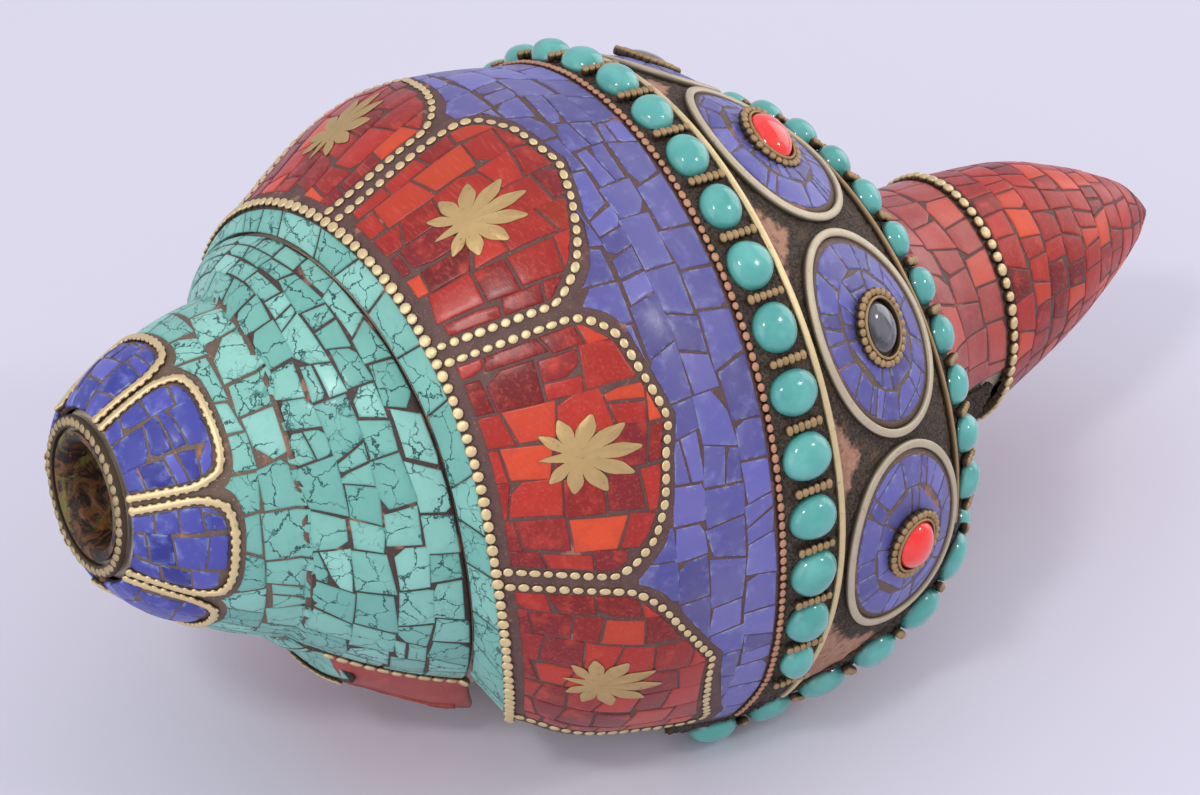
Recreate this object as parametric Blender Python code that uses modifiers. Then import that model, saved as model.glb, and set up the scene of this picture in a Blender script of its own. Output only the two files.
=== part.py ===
"""Conch shell trumpet, covered with stone mosaic, brass wire and cabochons, lying on its lip.

The shell is described in its own coordinates: s is the distance along the coiling axis from the
blow hole (0) to the canal tip (200), theta turns round the axis in the direction of growth, and R
is the distance from the axis. Sizes are in millimetres and angles in degrees; build() turns them
into metres, with +Z up and the axis tilted as the shell lies.
"""

import math

import bmesh
import bpy
import numpy as np

MM = 0.001
LENGTH = 200.0

# How the shell lies: the canal end droops, and this angle theta is uppermost.
DROOP = 6.93
THETA_UP = 37.0
# Where s = 0 on the coiling axis stands above the floor, and from the middle of the footprint.
AXIS_START = (-98.96, 7.21, 56.0)

# Stations of the outer surface, from the blow hole to the tip. Each is a slightly tilted ring:
# s = s0 + s_cos cos(theta) + s_sin sin(theta), and R the same with growth along the spiral.
# flare widens and lowers the last stretch before the lip, as (R, s).
STATIONS = (
    # name      s0     s_cos s_sin  R0    R_cos R_sin  grows  flare
    ("rim", 1.2, 0.0, 0.0, 13.0, 0.9, 0.9, False, (0.0, 0.0)),
    ("crease", 26.6, -0.3, -4.9, 25.4, 1.4, 0.3, True, (0.0, 0.0)),
    ("suture", 37.5, -4.7, 0.6, 36.0, -0.7, 0.2, True, (-0.3, 10.5)),
    ("shoulder", 39.1, -3.9, 0.5, 40.3, -1.0, 2.8, True, (3.8, 14.8)),
    ("belly", 60.8, -3.0, 0.4, 51.5, 1.2, 4.4, True, (-2.2, 2.5)),
    ("girdle", 84.5, -2.7, -4.3, 52.0, 0.1, 4.1, True, (0.9, 7.8)),
    ("band_top", 94.8, -4.6, -5.0, 52.2, -0.3, 3.9, True, (-0.5, -3.9)),
    ("band_foot", 120.2, -6.2, -1.5, 42.2, -4.2, 3.5, True, (0.0, 0.0)),
    ("neck", 138.0, -2.8, -0.7, 22.9, -5.7, 1.6, False, (0.0, 0.0)),
    ("canal_ring", 155.1, -0.4, -1.9, 20.0, -3.3, 0.6, False, (0.0, 0.0)),
    ("taper", 178.1, 0.8, 0.2, 13.8, 0.0, 0.0, False, (0.0, 0.0)),
    ("nose", 192.8, 0.5, 0.7, 6.1, 0.0, 0.0, False, (0.0, 0.0)),
    ("tip", LENGTH, 0.0, 0.0, 0.3, 0.0, 0.0, False, (0.0, 0.0)),
)
# The nose bends off the coiling axis: how far its centre lies towards theta = 0 and theta = 90.
BEND_AT = ("canal_ring", "taper", "nose", "tip")
BEND_UP = (0.0, 0.3, 2.1, 2.1)
BEND_SIDE = (0.0, 1.6, 2.5, 2.5)
NAMES = [row[0] for row in STATIONS]
GROWTH = 0.06
GROWTH_FROM = 90.0
FLARE_FROM = 110.0
FLARE_OVER = 70.0
# The girdle and the band only follow the flare this far, so that they stay apart at the lip.
FLARE_CAP = {"girdle": 0.35, "band_top": 0.35}
# The far side, which turns away from the viewer, is a plain round of these (s, R).
FAR_SIDE = {
    "crease": (26.7, 26.5),
    "suture": (32.0, 29.6),
    "shoulder": (36.0, 36.3),
    "belly": (58.0, 46.6),
    "girdle": (82.0, 48.3),
    "band_top": (91.0, 48.6),
    "band_foot": (117.0, 37.5),
}
FAR_FROM = -30.0
FAR_OVER = 80.0
# Spacing of the stations along the profile, for the smooth curve from the shoulder to the tip.
SMOOTH_KNOTS = (0.0, 25.0, 46.0, 57.0, 86.0, 106.0, 122.0, 148.0, 163.0, 173.0)
SHOULDER = NAMES.index("shoulder")
BULGE_APEX = 2.1
BULGE_CONE = 1.2
CREASE_STEP = 0.8
SUTURE_STEP = 0.3

# The outer lip is where the whorl ends: theta at each station.
LIP = (178, 178, 178, 178, 178, 178, 175, 148, 158, 162, 165, 170, 178)
CORE_END = (54.0, 38.5)
SPIRE_COLUMNS = 42
INNER_LIP_DIP = 4.2
INNER_LIP_OVER = 30.0

# The layers: mosaic skins lie on the shell with a small gap.
SKIN = 1.2
GAP = 0.35
SHELL_DEPTH = SKIN + 0.5
WIRE_R = 0.9
SEAM = 1.35

# The air passage: at each angle along the spiral, its inner and outer R, and its reach along s.
PASSAGE_TURNS = (-560, -452, -362, -272, -182, -92, -2, 88, 178, 206)
PASSAGE_INNER = (0.8, 2.0, 4.5, 7.0, 10.5, 16.0, 22.5, 30.5, 37.5, 47.8)
PASSAGE_OUTER = (8.0, 12.5, 19.0, 27.0, 34.0, 38.5, 42.0, 50.5, 53.2, 62.0)
PASSAGE_LOW = (11, 15, 19, 26, 33, 38, 40, 46, 62, 66)
PASSAGE_HIGH = (24, 36, 52, 68, 84, 98, 106, 113, 120, 124)
PASSAGE_STEP = 18.0
PASSAGE_SIDES = 10

# The blow hole: its centre lies a little off the coiling axis.
HOLE_CENTRE = (0.9, 0.9)
RING_SECTION = (
    (9.8, 1.1),
    (10.0, 0.4),
    (10.4, 0.0),
    (11.6, 0.0),
    (12.1, 0.5),
    (12.1, 1.2),
    (11.8, 1.6),
    (10.0, 1.6),
)
CUP_SECTION = ((9.4, 0.7), (9.4, 1.5), (8.5, 1.9), (6.1, 13.2), (5.3, 13.2), (7.7, 1.7), (8.4, 0.7))
CUP_SEAT = ((9.9, -3.0), (9.0, 1.6), (6.5, 13.6), (5.6, 18.0))

# Seven pillow petals round the blow hole.
APEX_PETALS = 7
APEX_VALLEY = 45.5
APEX_FOOT = 1.9
APEX_SIDE = 9.6
APEX_ARCH = 3.6
APEX_WIRE_R = 0.7
APEX_WIRE_OFF = 0.95

# Coral petals hang from the shoulder wire, between these angles.
PETAL_EDGES = (-144.0, -96.0, -48.0, -2.0, 40.0, 80.0, 123.5, 166.0)
PARIETAL_EDGES = (-172.0, -144.0)
PETAL_SIDE = 19.5
PETAL_ARCH = 6.0
PETAL_POINT = 3.5
PETAL_POINT_AT = -0.17
MOTIF_PETALS = (1, 2, 3, 4, 5, 6)
MOTIF_CENTRE = 15.5
# The motif is a palmette: half width across, at each height.
MOTIF_OUTLINE = (
    (-8.0, 1.0),
    (-6.4, 3.4),
    (-4.8, 1.9),
    (-2.6, 4.8),
    (0.0, 6.3),
    (2.8, 5.6),
    (5.6, 3.6),
    (8.0, 0.8),
)

# The rows of stones and the medallion band end short of where the shell rests.
BANDS_START = -119.0
ROW_END = 162.0
LOWER_ROW_END = 134.5
UPPER_LAST = 147.3
LOWER_LAST = 127.0
STRIP_WIDTH = 8.6
UPPER_STONE = (7.3, 3.5)
UPPER_PITCH = 9.5
LOWER_STONE = (6.0, 2.9)
LOWER_PITCH = 7.75
LOWER_STRIP = 6.2
LIP_STONE = (7.9, 3.2)
LIP_PITCH = 9.3
LIP_REACH = (4.7, 8.75)

MEDALLIONS = (-93.0, -53.0, -14.5, 23.0, 59.0, 94.5, 129.5)
MEDALLION_HALF_TURN = 16.3
MEDALLION_MARGIN = 1.2
MEDALLION_RISE = 0.5
STONE_SEAT_R = 6.0
STONE_DOME_R = 4.6
STONE_HEIGHT = 3.1

COLOURS = {
    "shell": ((0.62, 0.52, 0.40), 0.55, 0.0),
    "brass": ((0.56, 0.45, 0.22), 0.35, 1.0),
    "copper": ((0.45, 0.22, 0.12), 0.40, 1.0),
    "turquoise": ((0.16, 0.50, 0.46), 0.35, 0.0),
    "lapis": ((0.05, 0.07, 0.34), 0.30, 0.0),
    "coral": ((0.42, 0.03, 0.02), 0.25, 0.0),
    "cabochon": ((0.05, 0.42, 0.36), 0.15, 0.0),
    "lac": ((0.16, 0.11, 0.08), 0.80, 0.0),
    "red_stone": ((0.75, 0.06, 0.03), 0.12, 0.0),
}


def smooth_step(t):
    t = np.clip(t, 0.0, 1.0)
    return t * t * (3.0 - 2.0 * t)


def stations(theta):
    """s and R of every station at each angle, as arrays with the station as the last axis."""
    turn = np.radians(theta)
    far = smooth_step((FAR_FROM - theta) / FAR_OVER)
    flare = np.clip((theta - FLARE_FROM) / FLARE_OVER, 0.0, None) ** 2
    all_s, all_r = [], []
    for name, s0, s_cos, s_sin, r0, r_cos, r_sin, grows, (flare_r, flare_s) in STATIONS:
        growth = np.exp(GROWTH * np.radians(theta - GROWTH_FROM)) if grows else 1.0
        drop = np.minimum(flare, FLARE_CAP.get(name, 2.0))
        s = s0 + s_cos * np.cos(turn) + s_sin * np.sin(turn) + flare_s * drop
        r = r0 * growth + r_cos * np.cos(turn) + r_sin * np.sin(turn) + flare_r * flare
        if name in FAR_SIDE:
            far_s, far_r = FAR_SIDE[name]
            s = s + (far_s - s) * far
            r = r + (far_r - r) * far
        all_s.append(s)
        all_r.append(r)
    return np.stack(all_s, -1), np.stack(all_r, -1)


def smooth_curve(values, at):
    """A smooth curve through the values at SMOOTH_KNOTS, read at knot number `at`."""
    knots = np.array(SMOOTH_KNOTS)
    spans = np.diff(knots)
    slopes = np.diff(values, axis=-1) / spans
    tangents = np.empty_like(values)
    tangents[..., 1:-1] = slopes[..., :-1] * spans[1:] + slopes[..., 1:] * spans[:-1]
    tangents[..., 1:-1] /= spans[:-1] + spans[1:]
    tangents[..., 0] = slopes[..., 0]
    tangents[..., -1] = slopes[..., -1]
    i = np.clip(at.astype(int), 0, len(spans) - 1)
    t = at - i
    span = spans[i]

    def pick(array, index):
        return np.take_along_axis(array, index[..., None], -1)[..., 0]

    start, end = pick(values, i), pick(values, i + 1)
    leave, arrive = pick(tangents, i) * span, pick(tangents, i + 1) * span
    return (
        (2 * t**3 - 3 * t**2 + 1) * start
        + (t**3 - 2 * t**2 + t) * leave
        + (3 * t**2 - 2 * t**3) * end
        + (t**3 - t**2) * arrive
    )


def profile(w, theta):
    """(s, R) of the outer surface. w counts stations: 1.5 is halfway from crease to suture."""
    w, theta = np.broadcast_arrays(np.asarray(w, float), np.asarray(theta, float))
    all_s, all_r = stations(theta)
    i = np.clip(w.astype(int), 0, SHOULDER - 1)
    t = w - i
    hump = 4.0 * t * (1.0 - t)
    bulge = np.choose(i, (BULGE_APEX, BULGE_CONE, 0.0))
    step = np.choose(i, (0.0, CREASE_STEP, SUTURE_STEP)) * (1.0 - t)

    def straight(values):
        start = np.take_along_axis(values, i[..., None], -1)[..., 0]
        end = np.take_along_axis(values, i[..., None] + 1, -1)[..., 0]
        return start + (end - start) * t

    s = straight(all_s)
    r = straight(all_r) + bulge * hump + step
    smooth = w >= SHOULDER
    at = np.clip(w - SHOULDER, 0.0, None)
    s = np.where(smooth, smooth_curve(all_s[..., SHOULDER:], at), s)
    r = np.where(smooth, smooth_curve(all_r[..., SHOULDER:], at), r)
    return s, r


def place(s, r, theta):
    """The point in the world, in metres, of shell coordinates."""
    droop, turn = math.radians(DROOP), np.radians(np.asarray(theta, float) - THETA_UP)
    across = r * np.cos(turn)
    x = AXIS_START[0] + s * math.cos(droop) + across * math.sin(droop)
    y = AXIS_START[1] - r * np.sin(turn)
    z = AXIS_START[2] - s * math.sin(droop) + across * math.cos(droop)
    return np.stack(np.broadcast_arrays(x, y, z), -1) * MM


def surface(w, theta, depth=0.0):
    """A point of the outer surface in metres, `depth` mm below it along the profile's normal."""
    w, theta, depth = np.broadcast_arrays(*(np.asarray(a, float) for a in (w, theta, depth)))
    s, r = profile(w, theta)
    before = profile(np.maximum(w - 0.03, 0.0), theta)
    after = profile(np.minimum(w + 0.03, len(NAMES) - 1.0), theta)
    ds, dr = after[0] - before[0], after[1] - before[1]
    length = np.hypot(ds, dr) + 1e-9
    points = place(s + depth * dr / length, np.maximum(r - depth * ds / length, 0.0), theta)
    centre = place(0.0, 0.0, 0.0)
    bend_from = [NAMES.index(name) for name in BEND_AT]
    for amount, direction in ((BEND_UP, 0.0), (BEND_SIDE, 90.0)):
        way = (place(0.0, 1.0, direction) - centre)
        points = points + np.interp(w, bend_from, amount)[..., None] * way
    return points


def along(station, offset, theta):
    """The w of a point `offset` mm from a station along the profile."""
    k = NAMES.index(station)
    all_s, all_r = stations(np.asarray(theta, float))
    other = k + 1 if offset > 0 else k - 1
    length = np.hypot(all_s[..., other] - all_s[..., k], all_r[..., other] - all_r[..., k])
    return k + offset / length


def degrees(offset, w, theta):
    """The turn that moves a point `offset` mm round the shell."""
    return np.degrees(offset / profile(w, theta)[1])


def lip(w):
    return np.interp(w, range(len(LIP)), LIP)


def new_collection(name):
    collection = bpy.data.collections.new(name)
    bpy.context.scene.collection.children.link(collection)
    return collection


def material(name):
    found = bpy.data.materials.get(name)
    if found:
        return found
    colour, roughness, metallic = COLOURS[name]
    made = bpy.data.materials.new(name)
    made.use_nodes = True
    made.diffuse_color = (*colour, 1.0)
    shader = made.node_tree.nodes["Principled BSDF"]
    shader.inputs["Base Color"].default_value = (*colour, 1.0)
    shader.inputs["Roughness"].default_value = roughness
    shader.inputs["Metallic"].default_value = metallic
    return made


def add_object(name, data, material_name, collection):
    made = bpy.data.objects.new(name, data)
    collection.objects.link(made)
    if material_name:
        data.materials.append(material(material_name))
    return made


def mesh_object(name, points, faces, material_name, collection, sharp=40.0):
    mesh = bpy.data.meshes.new(name)
    mesh.from_pydata([tuple(p) for p in points], [], faces)
    mesh.shade_smooth()
    mesh.set_sharp_from_angle(angle=math.radians(sharp))
    return add_object(name, mesh, material_name, collection)


def add_modifier(target, kind, **settings):
    made = target.modifiers.new(kind.title(), kind)
    for key, value in settings.items():
        setattr(made, key, value)
    return made


def grid_faces(rows, columns, closed=False):
    """Quads of a grid of points, facing out where rows run along the axis and columns round it."""
    faces = []
    for i in range(rows - 1):
        for j in range(columns if closed else columns - 1):
            k = (j + 1) % columns
            faces.append(
                (i * columns + j, i * columns + k, (i + 1) * columns + k, (i + 1) * columns + j)
            )
    return faces


def thicken(sheet, thickness):
    add_modifier(
        sheet, "SOLIDIFY", thickness=thickness * MM, offset=-1.0, use_even_offset=True
    )


def skin(name, w_low, w_high, theta, rows, material_name, depth=0.0, rise=0.0, thickness=SKIN):
    """A mosaic skin: an open sheet on the shell, from w_low to w_high at each theta, thickened."""
    share = np.linspace(0.0, 1.0, rows)[:, None]
    w = w_low + (w_high - w_low) * share
    theta = np.broadcast_to(theta, w.shape)
    pillow = (1.0 - np.linspace(-1.0, 1.0, w.shape[1]) ** 4) * np.sin(math.pi * share) ** 0.5
    points = surface(w, theta, depth - rise * pillow).reshape(-1, 3)
    sheet = mesh_object(name, points, grid_faces(rows, w.shape[1]), material_name, PARTS)
    thicken(sheet, thickness)
    return sheet


def wire(name, points, radius, material_name, closed=False, resolution=0, flat=False):
    """A wire along the points, in metres."""
    curve = bpy.data.curves.new(name, "CURVE")
    curve.dimensions = "3D"
    curve.bevel_depth = radius * MM
    curve.bevel_resolution = resolution
    curve.use_fill_caps = not closed
    spline = curve.splines.new("POLY")
    spline.points.add(len(points) - 1)
    for target, point in zip(spline.points, points):
        target.co = (*point, 1.0)
    spline.use_cyclic_u = closed
    spline.use_smooth = not flat
    return add_object(name, curve, material_name, PARTS)


def turned(name, section, material_name, sides=32):
    """A ring or cup turned about the blow hole's axis from a closed section of (R, s)."""
    points = np.concatenate([blow_hole_circle(radius, s, sides) for radius, s in section])
    rows = len(section)
    faces = grid_faces(rows + 1, sides, closed=True)
    faces = [tuple(i % (rows * sides) for i in face) for face in faces]
    made = mesh_object(name, points, faces, material_name, PARTS)
    face_out(made.data)
    return made


def face_out(mesh):
    work = bmesh.new()
    work.from_mesh(mesh)
    bmesh.ops.recalc_face_normals(work, faces=work.faces)
    work.to_mesh(mesh)
    work.free()


def closed_solid(name, rings, columns, collection):
    """A solid from rings of points, each closed round, with a fan over each end."""
    faces = grid_faces(len(rings), columns, closed=True)
    count = len(rings) * columns
    for j in range(columns):
        n = (j + 1) % columns
        faces.append((j, n, count))
        faces.append((count - columns + j, count - columns + n, count + 1))
    points = np.concatenate([*rings, [rings[0].mean(axis=0), rings[-1].mean(axis=0)]])
    made = mesh_object(name, points, faces, None, collection)
    face_out(made.data)
    return made


def whorl_solid(columns=40):
    """The last whorl, one full turn from under the spire to the lip, as one star-shaped solid.

    The surface spirals outwards, so a step face stands where the turn closes: this is the lip.
    From the canal ring on the shell doesn't grow, and the first and last columns are the same.
    """
    levels = (2.0, 3.0, 3.5, 4.0, 4.5, 5.0, 5.5, 6.0, 6.3, 6.6, 6.85, 7.1, 7.3, 7.5, 7.75)
    levels += (8.0, 8.3, 8.65, 9.0, 9.5, 10.0, 10.5, 11.0, 11.3)
    rows, flat = len(levels), levels.index(5.0)
    w = np.asarray(levels)[:, None]
    share = np.linspace(0.0, 1.0, columns)[None, :]
    theta = lip(w) - 360.0 * (1.0 - share)
    dip = INNER_LIP_DIP * (1.0 - smooth_step(share * 360.0 / INNER_LIP_OVER))
    dip = dip * (1.0 - smooth_step((w - 6.5) / 1.3))
    outer = surface(w, theta, SHELL_DEPTH + dip)
    start = place(profile(2.0, -90.0)[0], 0.0, 0.0)
    end = outer[-1].mean(axis=0) + (place(1.0, 0.0, 0.0) - place(0.0, 0.0, 0.0))
    points = np.concatenate([outer.reshape(-1, 3), [start, end]])

    def index(i, j):
        stepped = levels[i] < 9.0
        return i * columns + (j if stepped else j % (columns - 1))

    faces = []
    for i in range(rows - 1):
        for j in range(columns - 1):
            faces.append((index(i, j), index(i, j + 1), index(i + 1, j + 1), index(i + 1, j)))
        step = [index(i, columns - 1), index(i, 0), index(i + 1, 0), index(i + 1, columns - 1)]
        step = [k for n, k in enumerate(step) if k not in step[:n]]
        if len(step) > 2 and i >= flat:
            faces.append(tuple(step))
    upright = [index(i, 0) for i in range(flat + 1)]
    upright += [index(i, columns - 1) for i in reversed(range(flat + 1))]
    faces.append(tuple(upright))
    for j in range(columns):
        faces.append((index(0, (j + 1) % columns), index(0, j), rows * columns))
    for j in range(columns - 1):
        faces.append((index(rows - 1, j), index(rows - 1, j + 1), rows * columns + 1))
    made = mesh_object("whorl", points, faces, None, CUTTERS)
    work = bmesh.new()
    work.from_mesh(made.data)
    loose = [v for v in work.verts if not v.link_faces]
    bmesh.ops.delete(work, geom=loose, context="VERTS")
    work.to_mesh(made.data)
    work.free()
    face_out(made.data)
    return made


def spire_angles():
    return LIP[0] - 360.0 + np.arange(SPIRE_COLUMNS) * 360.0 / SPIRE_COLUMNS


def core_solid():
    """The spire: a closed cone from the blow hole to just under the last whorl."""
    theta = spire_angles()
    far = smooth_step((FAR_FROM - theta) / FAR_OVER)[:, None]
    rings = [surface(w, theta, SHELL_DEPTH) for w in (0.0, 0.33, 0.67)]
    rings.append(surface(1.0, theta, SHELL_DEPTH + CREASE_STEP))
    crease_s, crease_r = profile(1.001, theta)
    for share, w in ((0.5, 1.5), (1.0, 1.999)):
        s = crease_s + (CORE_END[0] - crease_s) * share
        r = crease_r - SHELL_DEPTH + (CORE_END[1] - crease_r + SHELL_DEPTH) * share
        hollow = 2.0 * share * (1.0 - share)
        line = place(s, r, theta)
        rings.append(surface(w, theta, SHELL_DEPTH + hollow) * (1.0 - far) + line * far)
    end_s, end_r = profile(1.999, theta)
    under = place(end_s + 3.0, end_r - 2.0 * SHELL_DEPTH, theta)
    last = place(CORE_END[0] + 1.0, CORE_END[1] - SHELL_DEPTH, theta)
    rings.append(under * (1.0 - far) + last * far)
    return closed_solid("spire_core", rings, SPIRE_COLUMNS, CUTTERS)


def passage_solid():
    """The spiral air passage, as the solid to cut away: rings that grow along the spiral."""
    turns = np.arange(PASSAGE_TURNS[0], PASSAGE_TURNS[-1] + 1.0, PASSAGE_STEP)
    inner, outer, low, high = (
        np.interp(turns, PASSAGE_TURNS, values)
        for values in (PASSAGE_INNER, PASSAGE_OUTER, PASSAGE_LOW, PASSAGE_HIGH)
    )
    round_it = np.arange(PASSAGE_SIDES) * 2.0 * math.pi / PASSAGE_SIDES
    r = (inner + outer)[:, None] / 2 + (outer - inner)[:, None] / 2 * np.cos(round_it)
    s = (low + high)[:, None] / 2 + (high - low)[:, None] / 2 * np.sin(round_it)
    rings = [place(*ring) for ring in zip(s, r, turns)]
    return closed_solid("passage_cutter", rings, PASSAGE_SIDES, CUTTERS)


def siphon_cutter():
    """The open groove that runs from the aperture down the canal, just past the lip."""
    w = np.linspace(6.75, 8.8, 8)
    theta = lip(w) + 12.0
    radius = np.linspace(4.6, 2.8, len(w))
    centre = surface(w, theta - 360.0, SHELL_DEPTH + 0.6)
    step = np.gradient(centre, axis=0)
    step /= np.linalg.norm(step, axis=1)[:, None]
    out = centre - place(profile(w, theta)[0], 0.0 * w, 0.0)
    out -= (out * step).sum(1)[:, None] * step
    out /= np.linalg.norm(out, axis=1)[:, None]
    side = np.cross(step, out)
    sides = 8
    turn = np.arange(sides) * 2.0 * math.pi / sides
    rings = []
    for k in range(len(w)):
        ring = np.outer(np.cos(turn), out[k]) + np.outer(np.sin(turn), side[k])
        rings.append(centre[k] + radius[k] * MM * ring)
    return closed_solid("siphon_cutter", rings, sides, CUTTERS)


def blow_hole_circle(radius, s, sides):
    """Points round the blow hole's own centre."""
    angles = np.radians(np.arange(sides) * 360.0 / sides)
    x = HOLE_CENTRE[0] + radius * np.cos(angles)
    y = HOLE_CENTRE[1] + radius * np.sin(angles)
    return place(np.full(sides, s), np.hypot(x, y), np.degrees(np.arctan2(y, x)))


def cup_cutter(sides=24):
    """The seat of the mouth cup, open to the passage."""
    rings = [blow_hole_circle(radius, s, sides) for radius, s in CUP_SEAT]
    return closed_solid("cup_cutter", rings, sides, CUTTERS)


def rest_cutter():
    """A block below the floor, which the worn flat is cut by."""
    work = bmesh.new()
    bmesh.ops.create_cube(work, size=0.1)
    mesh = bpy.data.meshes.new("rest_cutter")
    work.to_mesh(mesh)
    work.free()
    made = add_object("rest_cutter", mesh, None, CUTTERS)
    made.scale = (2.0, 1.4, 0.2)
    made.location = (0.0, 0.0, -0.01)
    return made


def conch_shell():
    """The shell itself: the spire and the last whorl in one, with the air passage cut out."""
    core = core_solid()
    shell = add_object("conch_shell", core.data.copy(), "shell", PARTS)
    add_modifier(shell, "BOOLEAN", operation="UNION", object=whorl_solid())
    for cutter in (passage_solid(), cup_cutter(), siphon_cutter(), rest_cutter()):
        add_modifier(shell, "BOOLEAN", operation="DIFFERENCE", object=cutter)


def apex_petal_top(u):
    return APEX_SIDE + APEX_ARCH * np.sqrt(np.clip(1.0 - u**4, 0.0, 1.0))


def apex_w(s, theta):
    """The w on the apex cone at a distance s along the axis."""
    all_s, _ = stations(np.asarray(theta, float))
    return (s - all_s[..., 0]) / (all_s[..., 1] - all_s[..., 0])


def apex_petals():
    """Seven lapis pillows round the blow hole, and the ribbon wire that winds round them."""
    pitch = 360.0 / APEX_PETALS
    path = []
    for k in range(APEX_PETALS):
        middle = APEX_VALLEY + (k - 2.5) * pitch
        half = pitch / 2.0
        u = np.linspace(-1.0, 1.0, 6)
        share = np.linspace(0.0, 1.0, 4)[:, None]
        top = apex_petal_top(u) - APEX_WIRE_R - 0.45
        s = APEX_FOOT + (top - APEX_FOOT) * share
        clear = APEX_WIRE_OFF + APEX_WIRE_R + 0.35
        inset = degrees(clear, apex_w(s, middle), middle)
        theta = middle + u * (half - inset)
        rise = 1.1 * (1.0 - u**4) * np.sin(math.pi * share) ** 0.6
        points = surface(apex_w(s, theta), theta, -rise).reshape(-1, 3)
        petal = mesh_object(f"apex_petal_{k + 1}", points, grid_faces(4, 6), "lapis", PARTS)
        thicken(petal, SKIN)
        side = np.array((APEX_FOOT + 0.6, 0.5 * (APEX_FOOT + APEX_SIDE), APEX_SIDE))
        arch = np.array((-0.72, -0.35, 0.0, 0.35, 0.72))
        gap = degrees(APEX_WIRE_OFF, apex_w(side, middle), middle)
        over = degrees(APEX_WIRE_OFF, 0.5, middle)
        path += list(zip(side, middle - half + gap))
        path += list(zip(apex_petal_top(arch), middle + arch * (half - over)))
        path += list(zip(side[::-1], middle + half - gap[::-1]))
    s, theta = np.array(path).T
    wire("apex_petal_wire", surface(apex_w(s, theta), theta, 0.3), APEX_WIRE_R, "brass")


def spire_mosaic():
    """Turquoise from the apex petals down over the crease to the suture."""
    theta = spire_angles()
    pitch = 360.0 / APEX_PETALS
    u = ((theta - APEX_VALLEY) / pitch % 1.0) * 2.0 - 1.0
    start = apex_w(apex_petal_top(u) + 1.6, theta)
    end = 2.0 - 0.4 / 14.0
    rows = [start, start + (1.0 - start) * 0.5, 0.0 * start + 0.96]
    rows += [0.0 * start + 1.06, 0.0 * start + 1.5, 0.0 * start + end]
    points = np.concatenate([surface(w, theta) for w in rows])
    faces = grid_faces(len(rows), len(theta), closed=True)
    sheet = mesh_object("spire_turquoise", points, faces, "turquoise", PARTS)
    thicken(sheet, SKIN)


def ramp_mosaic():
    """The single row of turquoise on the ramp between the suture and the shoulder wire."""
    theta = np.linspace(-176.0, 168.0, 36)
    low = along("suture", 0.3, theta)
    high = along("shoulder", -SEAM, theta)
    skin("ramp_turquoise", low, high, theta, 2, "turquoise")


def ring_wire(name, station, offset, first, last, radius, material_name, depth=0.3, step=9.5):
    theta = np.linspace(first, last, int((last - first) / step) + 1)
    points = surface(along(station, offset, theta), theta, depth)
    wire(name, points, radius, material_name)


def petal_edge(u):
    """How far a coral petal reaches from the shoulder wire, across its width u from -1 to 1."""
    reach = np.where(u > PETAL_POINT_AT, 1.0 - PETAL_POINT_AT, 1.0 + PETAL_POINT_AT)
    point = (1.0 - np.abs(u - PETAL_POINT_AT) / reach) ** 2
    return PETAL_SIDE + PETAL_ARCH * (1.0 - u**4) + PETAL_POINT * point


def coral_petals():
    """The petals hung from the shoulder wire, their brass motifs and the wire that winds round."""
    path = []
    for k, (first, last) in enumerate(zip(PETAL_EDGES[:-1], PETAL_EDGES[1:])):
        middle, half = (first + last) / 2.0, (last - first) / 2.0
        u = np.linspace(-1.0, 1.0, 7)
        radius = profile(3.6, middle)[1]
        inset = math.degrees((WIRE_R + 1.7) / radius)
        theta = middle + u * (half - inset)
        low = along("shoulder", SEAM, theta)
        high = along("shoulder", 1.0, theta)
        high = 3.0 + (high - 3.0) * (petal_edge(u) - SEAM)
        skin(f"coral_petal_{k + 1}", low, high, theta, 6, "coral", rise=0.5)
        if k in MOTIF_PETALS:
            brass_motif(k, middle)
        edge = half - math.degrees(1.25 / radius)
        for share in (0.12, 0.55, 1.0):
            path.append((share * PETAL_SIDE, middle - edge))
        for v in (-0.8, -0.5, PETAL_POINT_AT, 0.1, 0.45, 0.8):
            path.append((petal_edge(np.array(v)), middle + v * edge))
        for share in (1.0, 0.55, 0.12):
            path.append((share * PETAL_SIDE, middle + edge))
    reach = np.array([p[0] for p in path])
    theta = np.array([p[1] for p in path])
    w = 3.0 + (along("shoulder", 1.0, theta) - 3.0) * reach
    wire("petal_wire", surface(w, theta, 0.3), 0.8, "brass")


def brass_motif(k, middle):
    """A pierced palmette of brass sheet, laid on its petal."""
    rows = []
    for height, half_width in MOTIF_OUTLINE:
        w = 3.0 + (along("shoulder", 1.0, middle) - 3.0) * (MOTIF_CENTRE + height)
        turn = degrees(half_width, w, middle)
        theta = middle + np.array((-1.0, 0.0, 1.0)) * turn
        rows.append(surface(w, theta, -1.45))
    points = np.concatenate(rows)
    sheet = mesh_object(
        f"brass_motif_{k + 1}", points, grid_faces(len(rows), 3), "brass", PARTS
    )
    thicken(sheet, 0.6)


def parietal_coral():
    """Coral on the inner side of the mouth, from the end of the ramp to the aperture."""
    theta = np.linspace(PARIETAL_EDGES[0] + 2.0, PARIETAL_EDGES[1] - 2.6, 5)
    low = along("shoulder", SEAM, theta)
    high = 3.0 + (along("shoulder", 1.0, theta) - 3.0) * PETAL_SIDE
    skin("parietal_coral", low, high, theta, 5, "coral")


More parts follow.
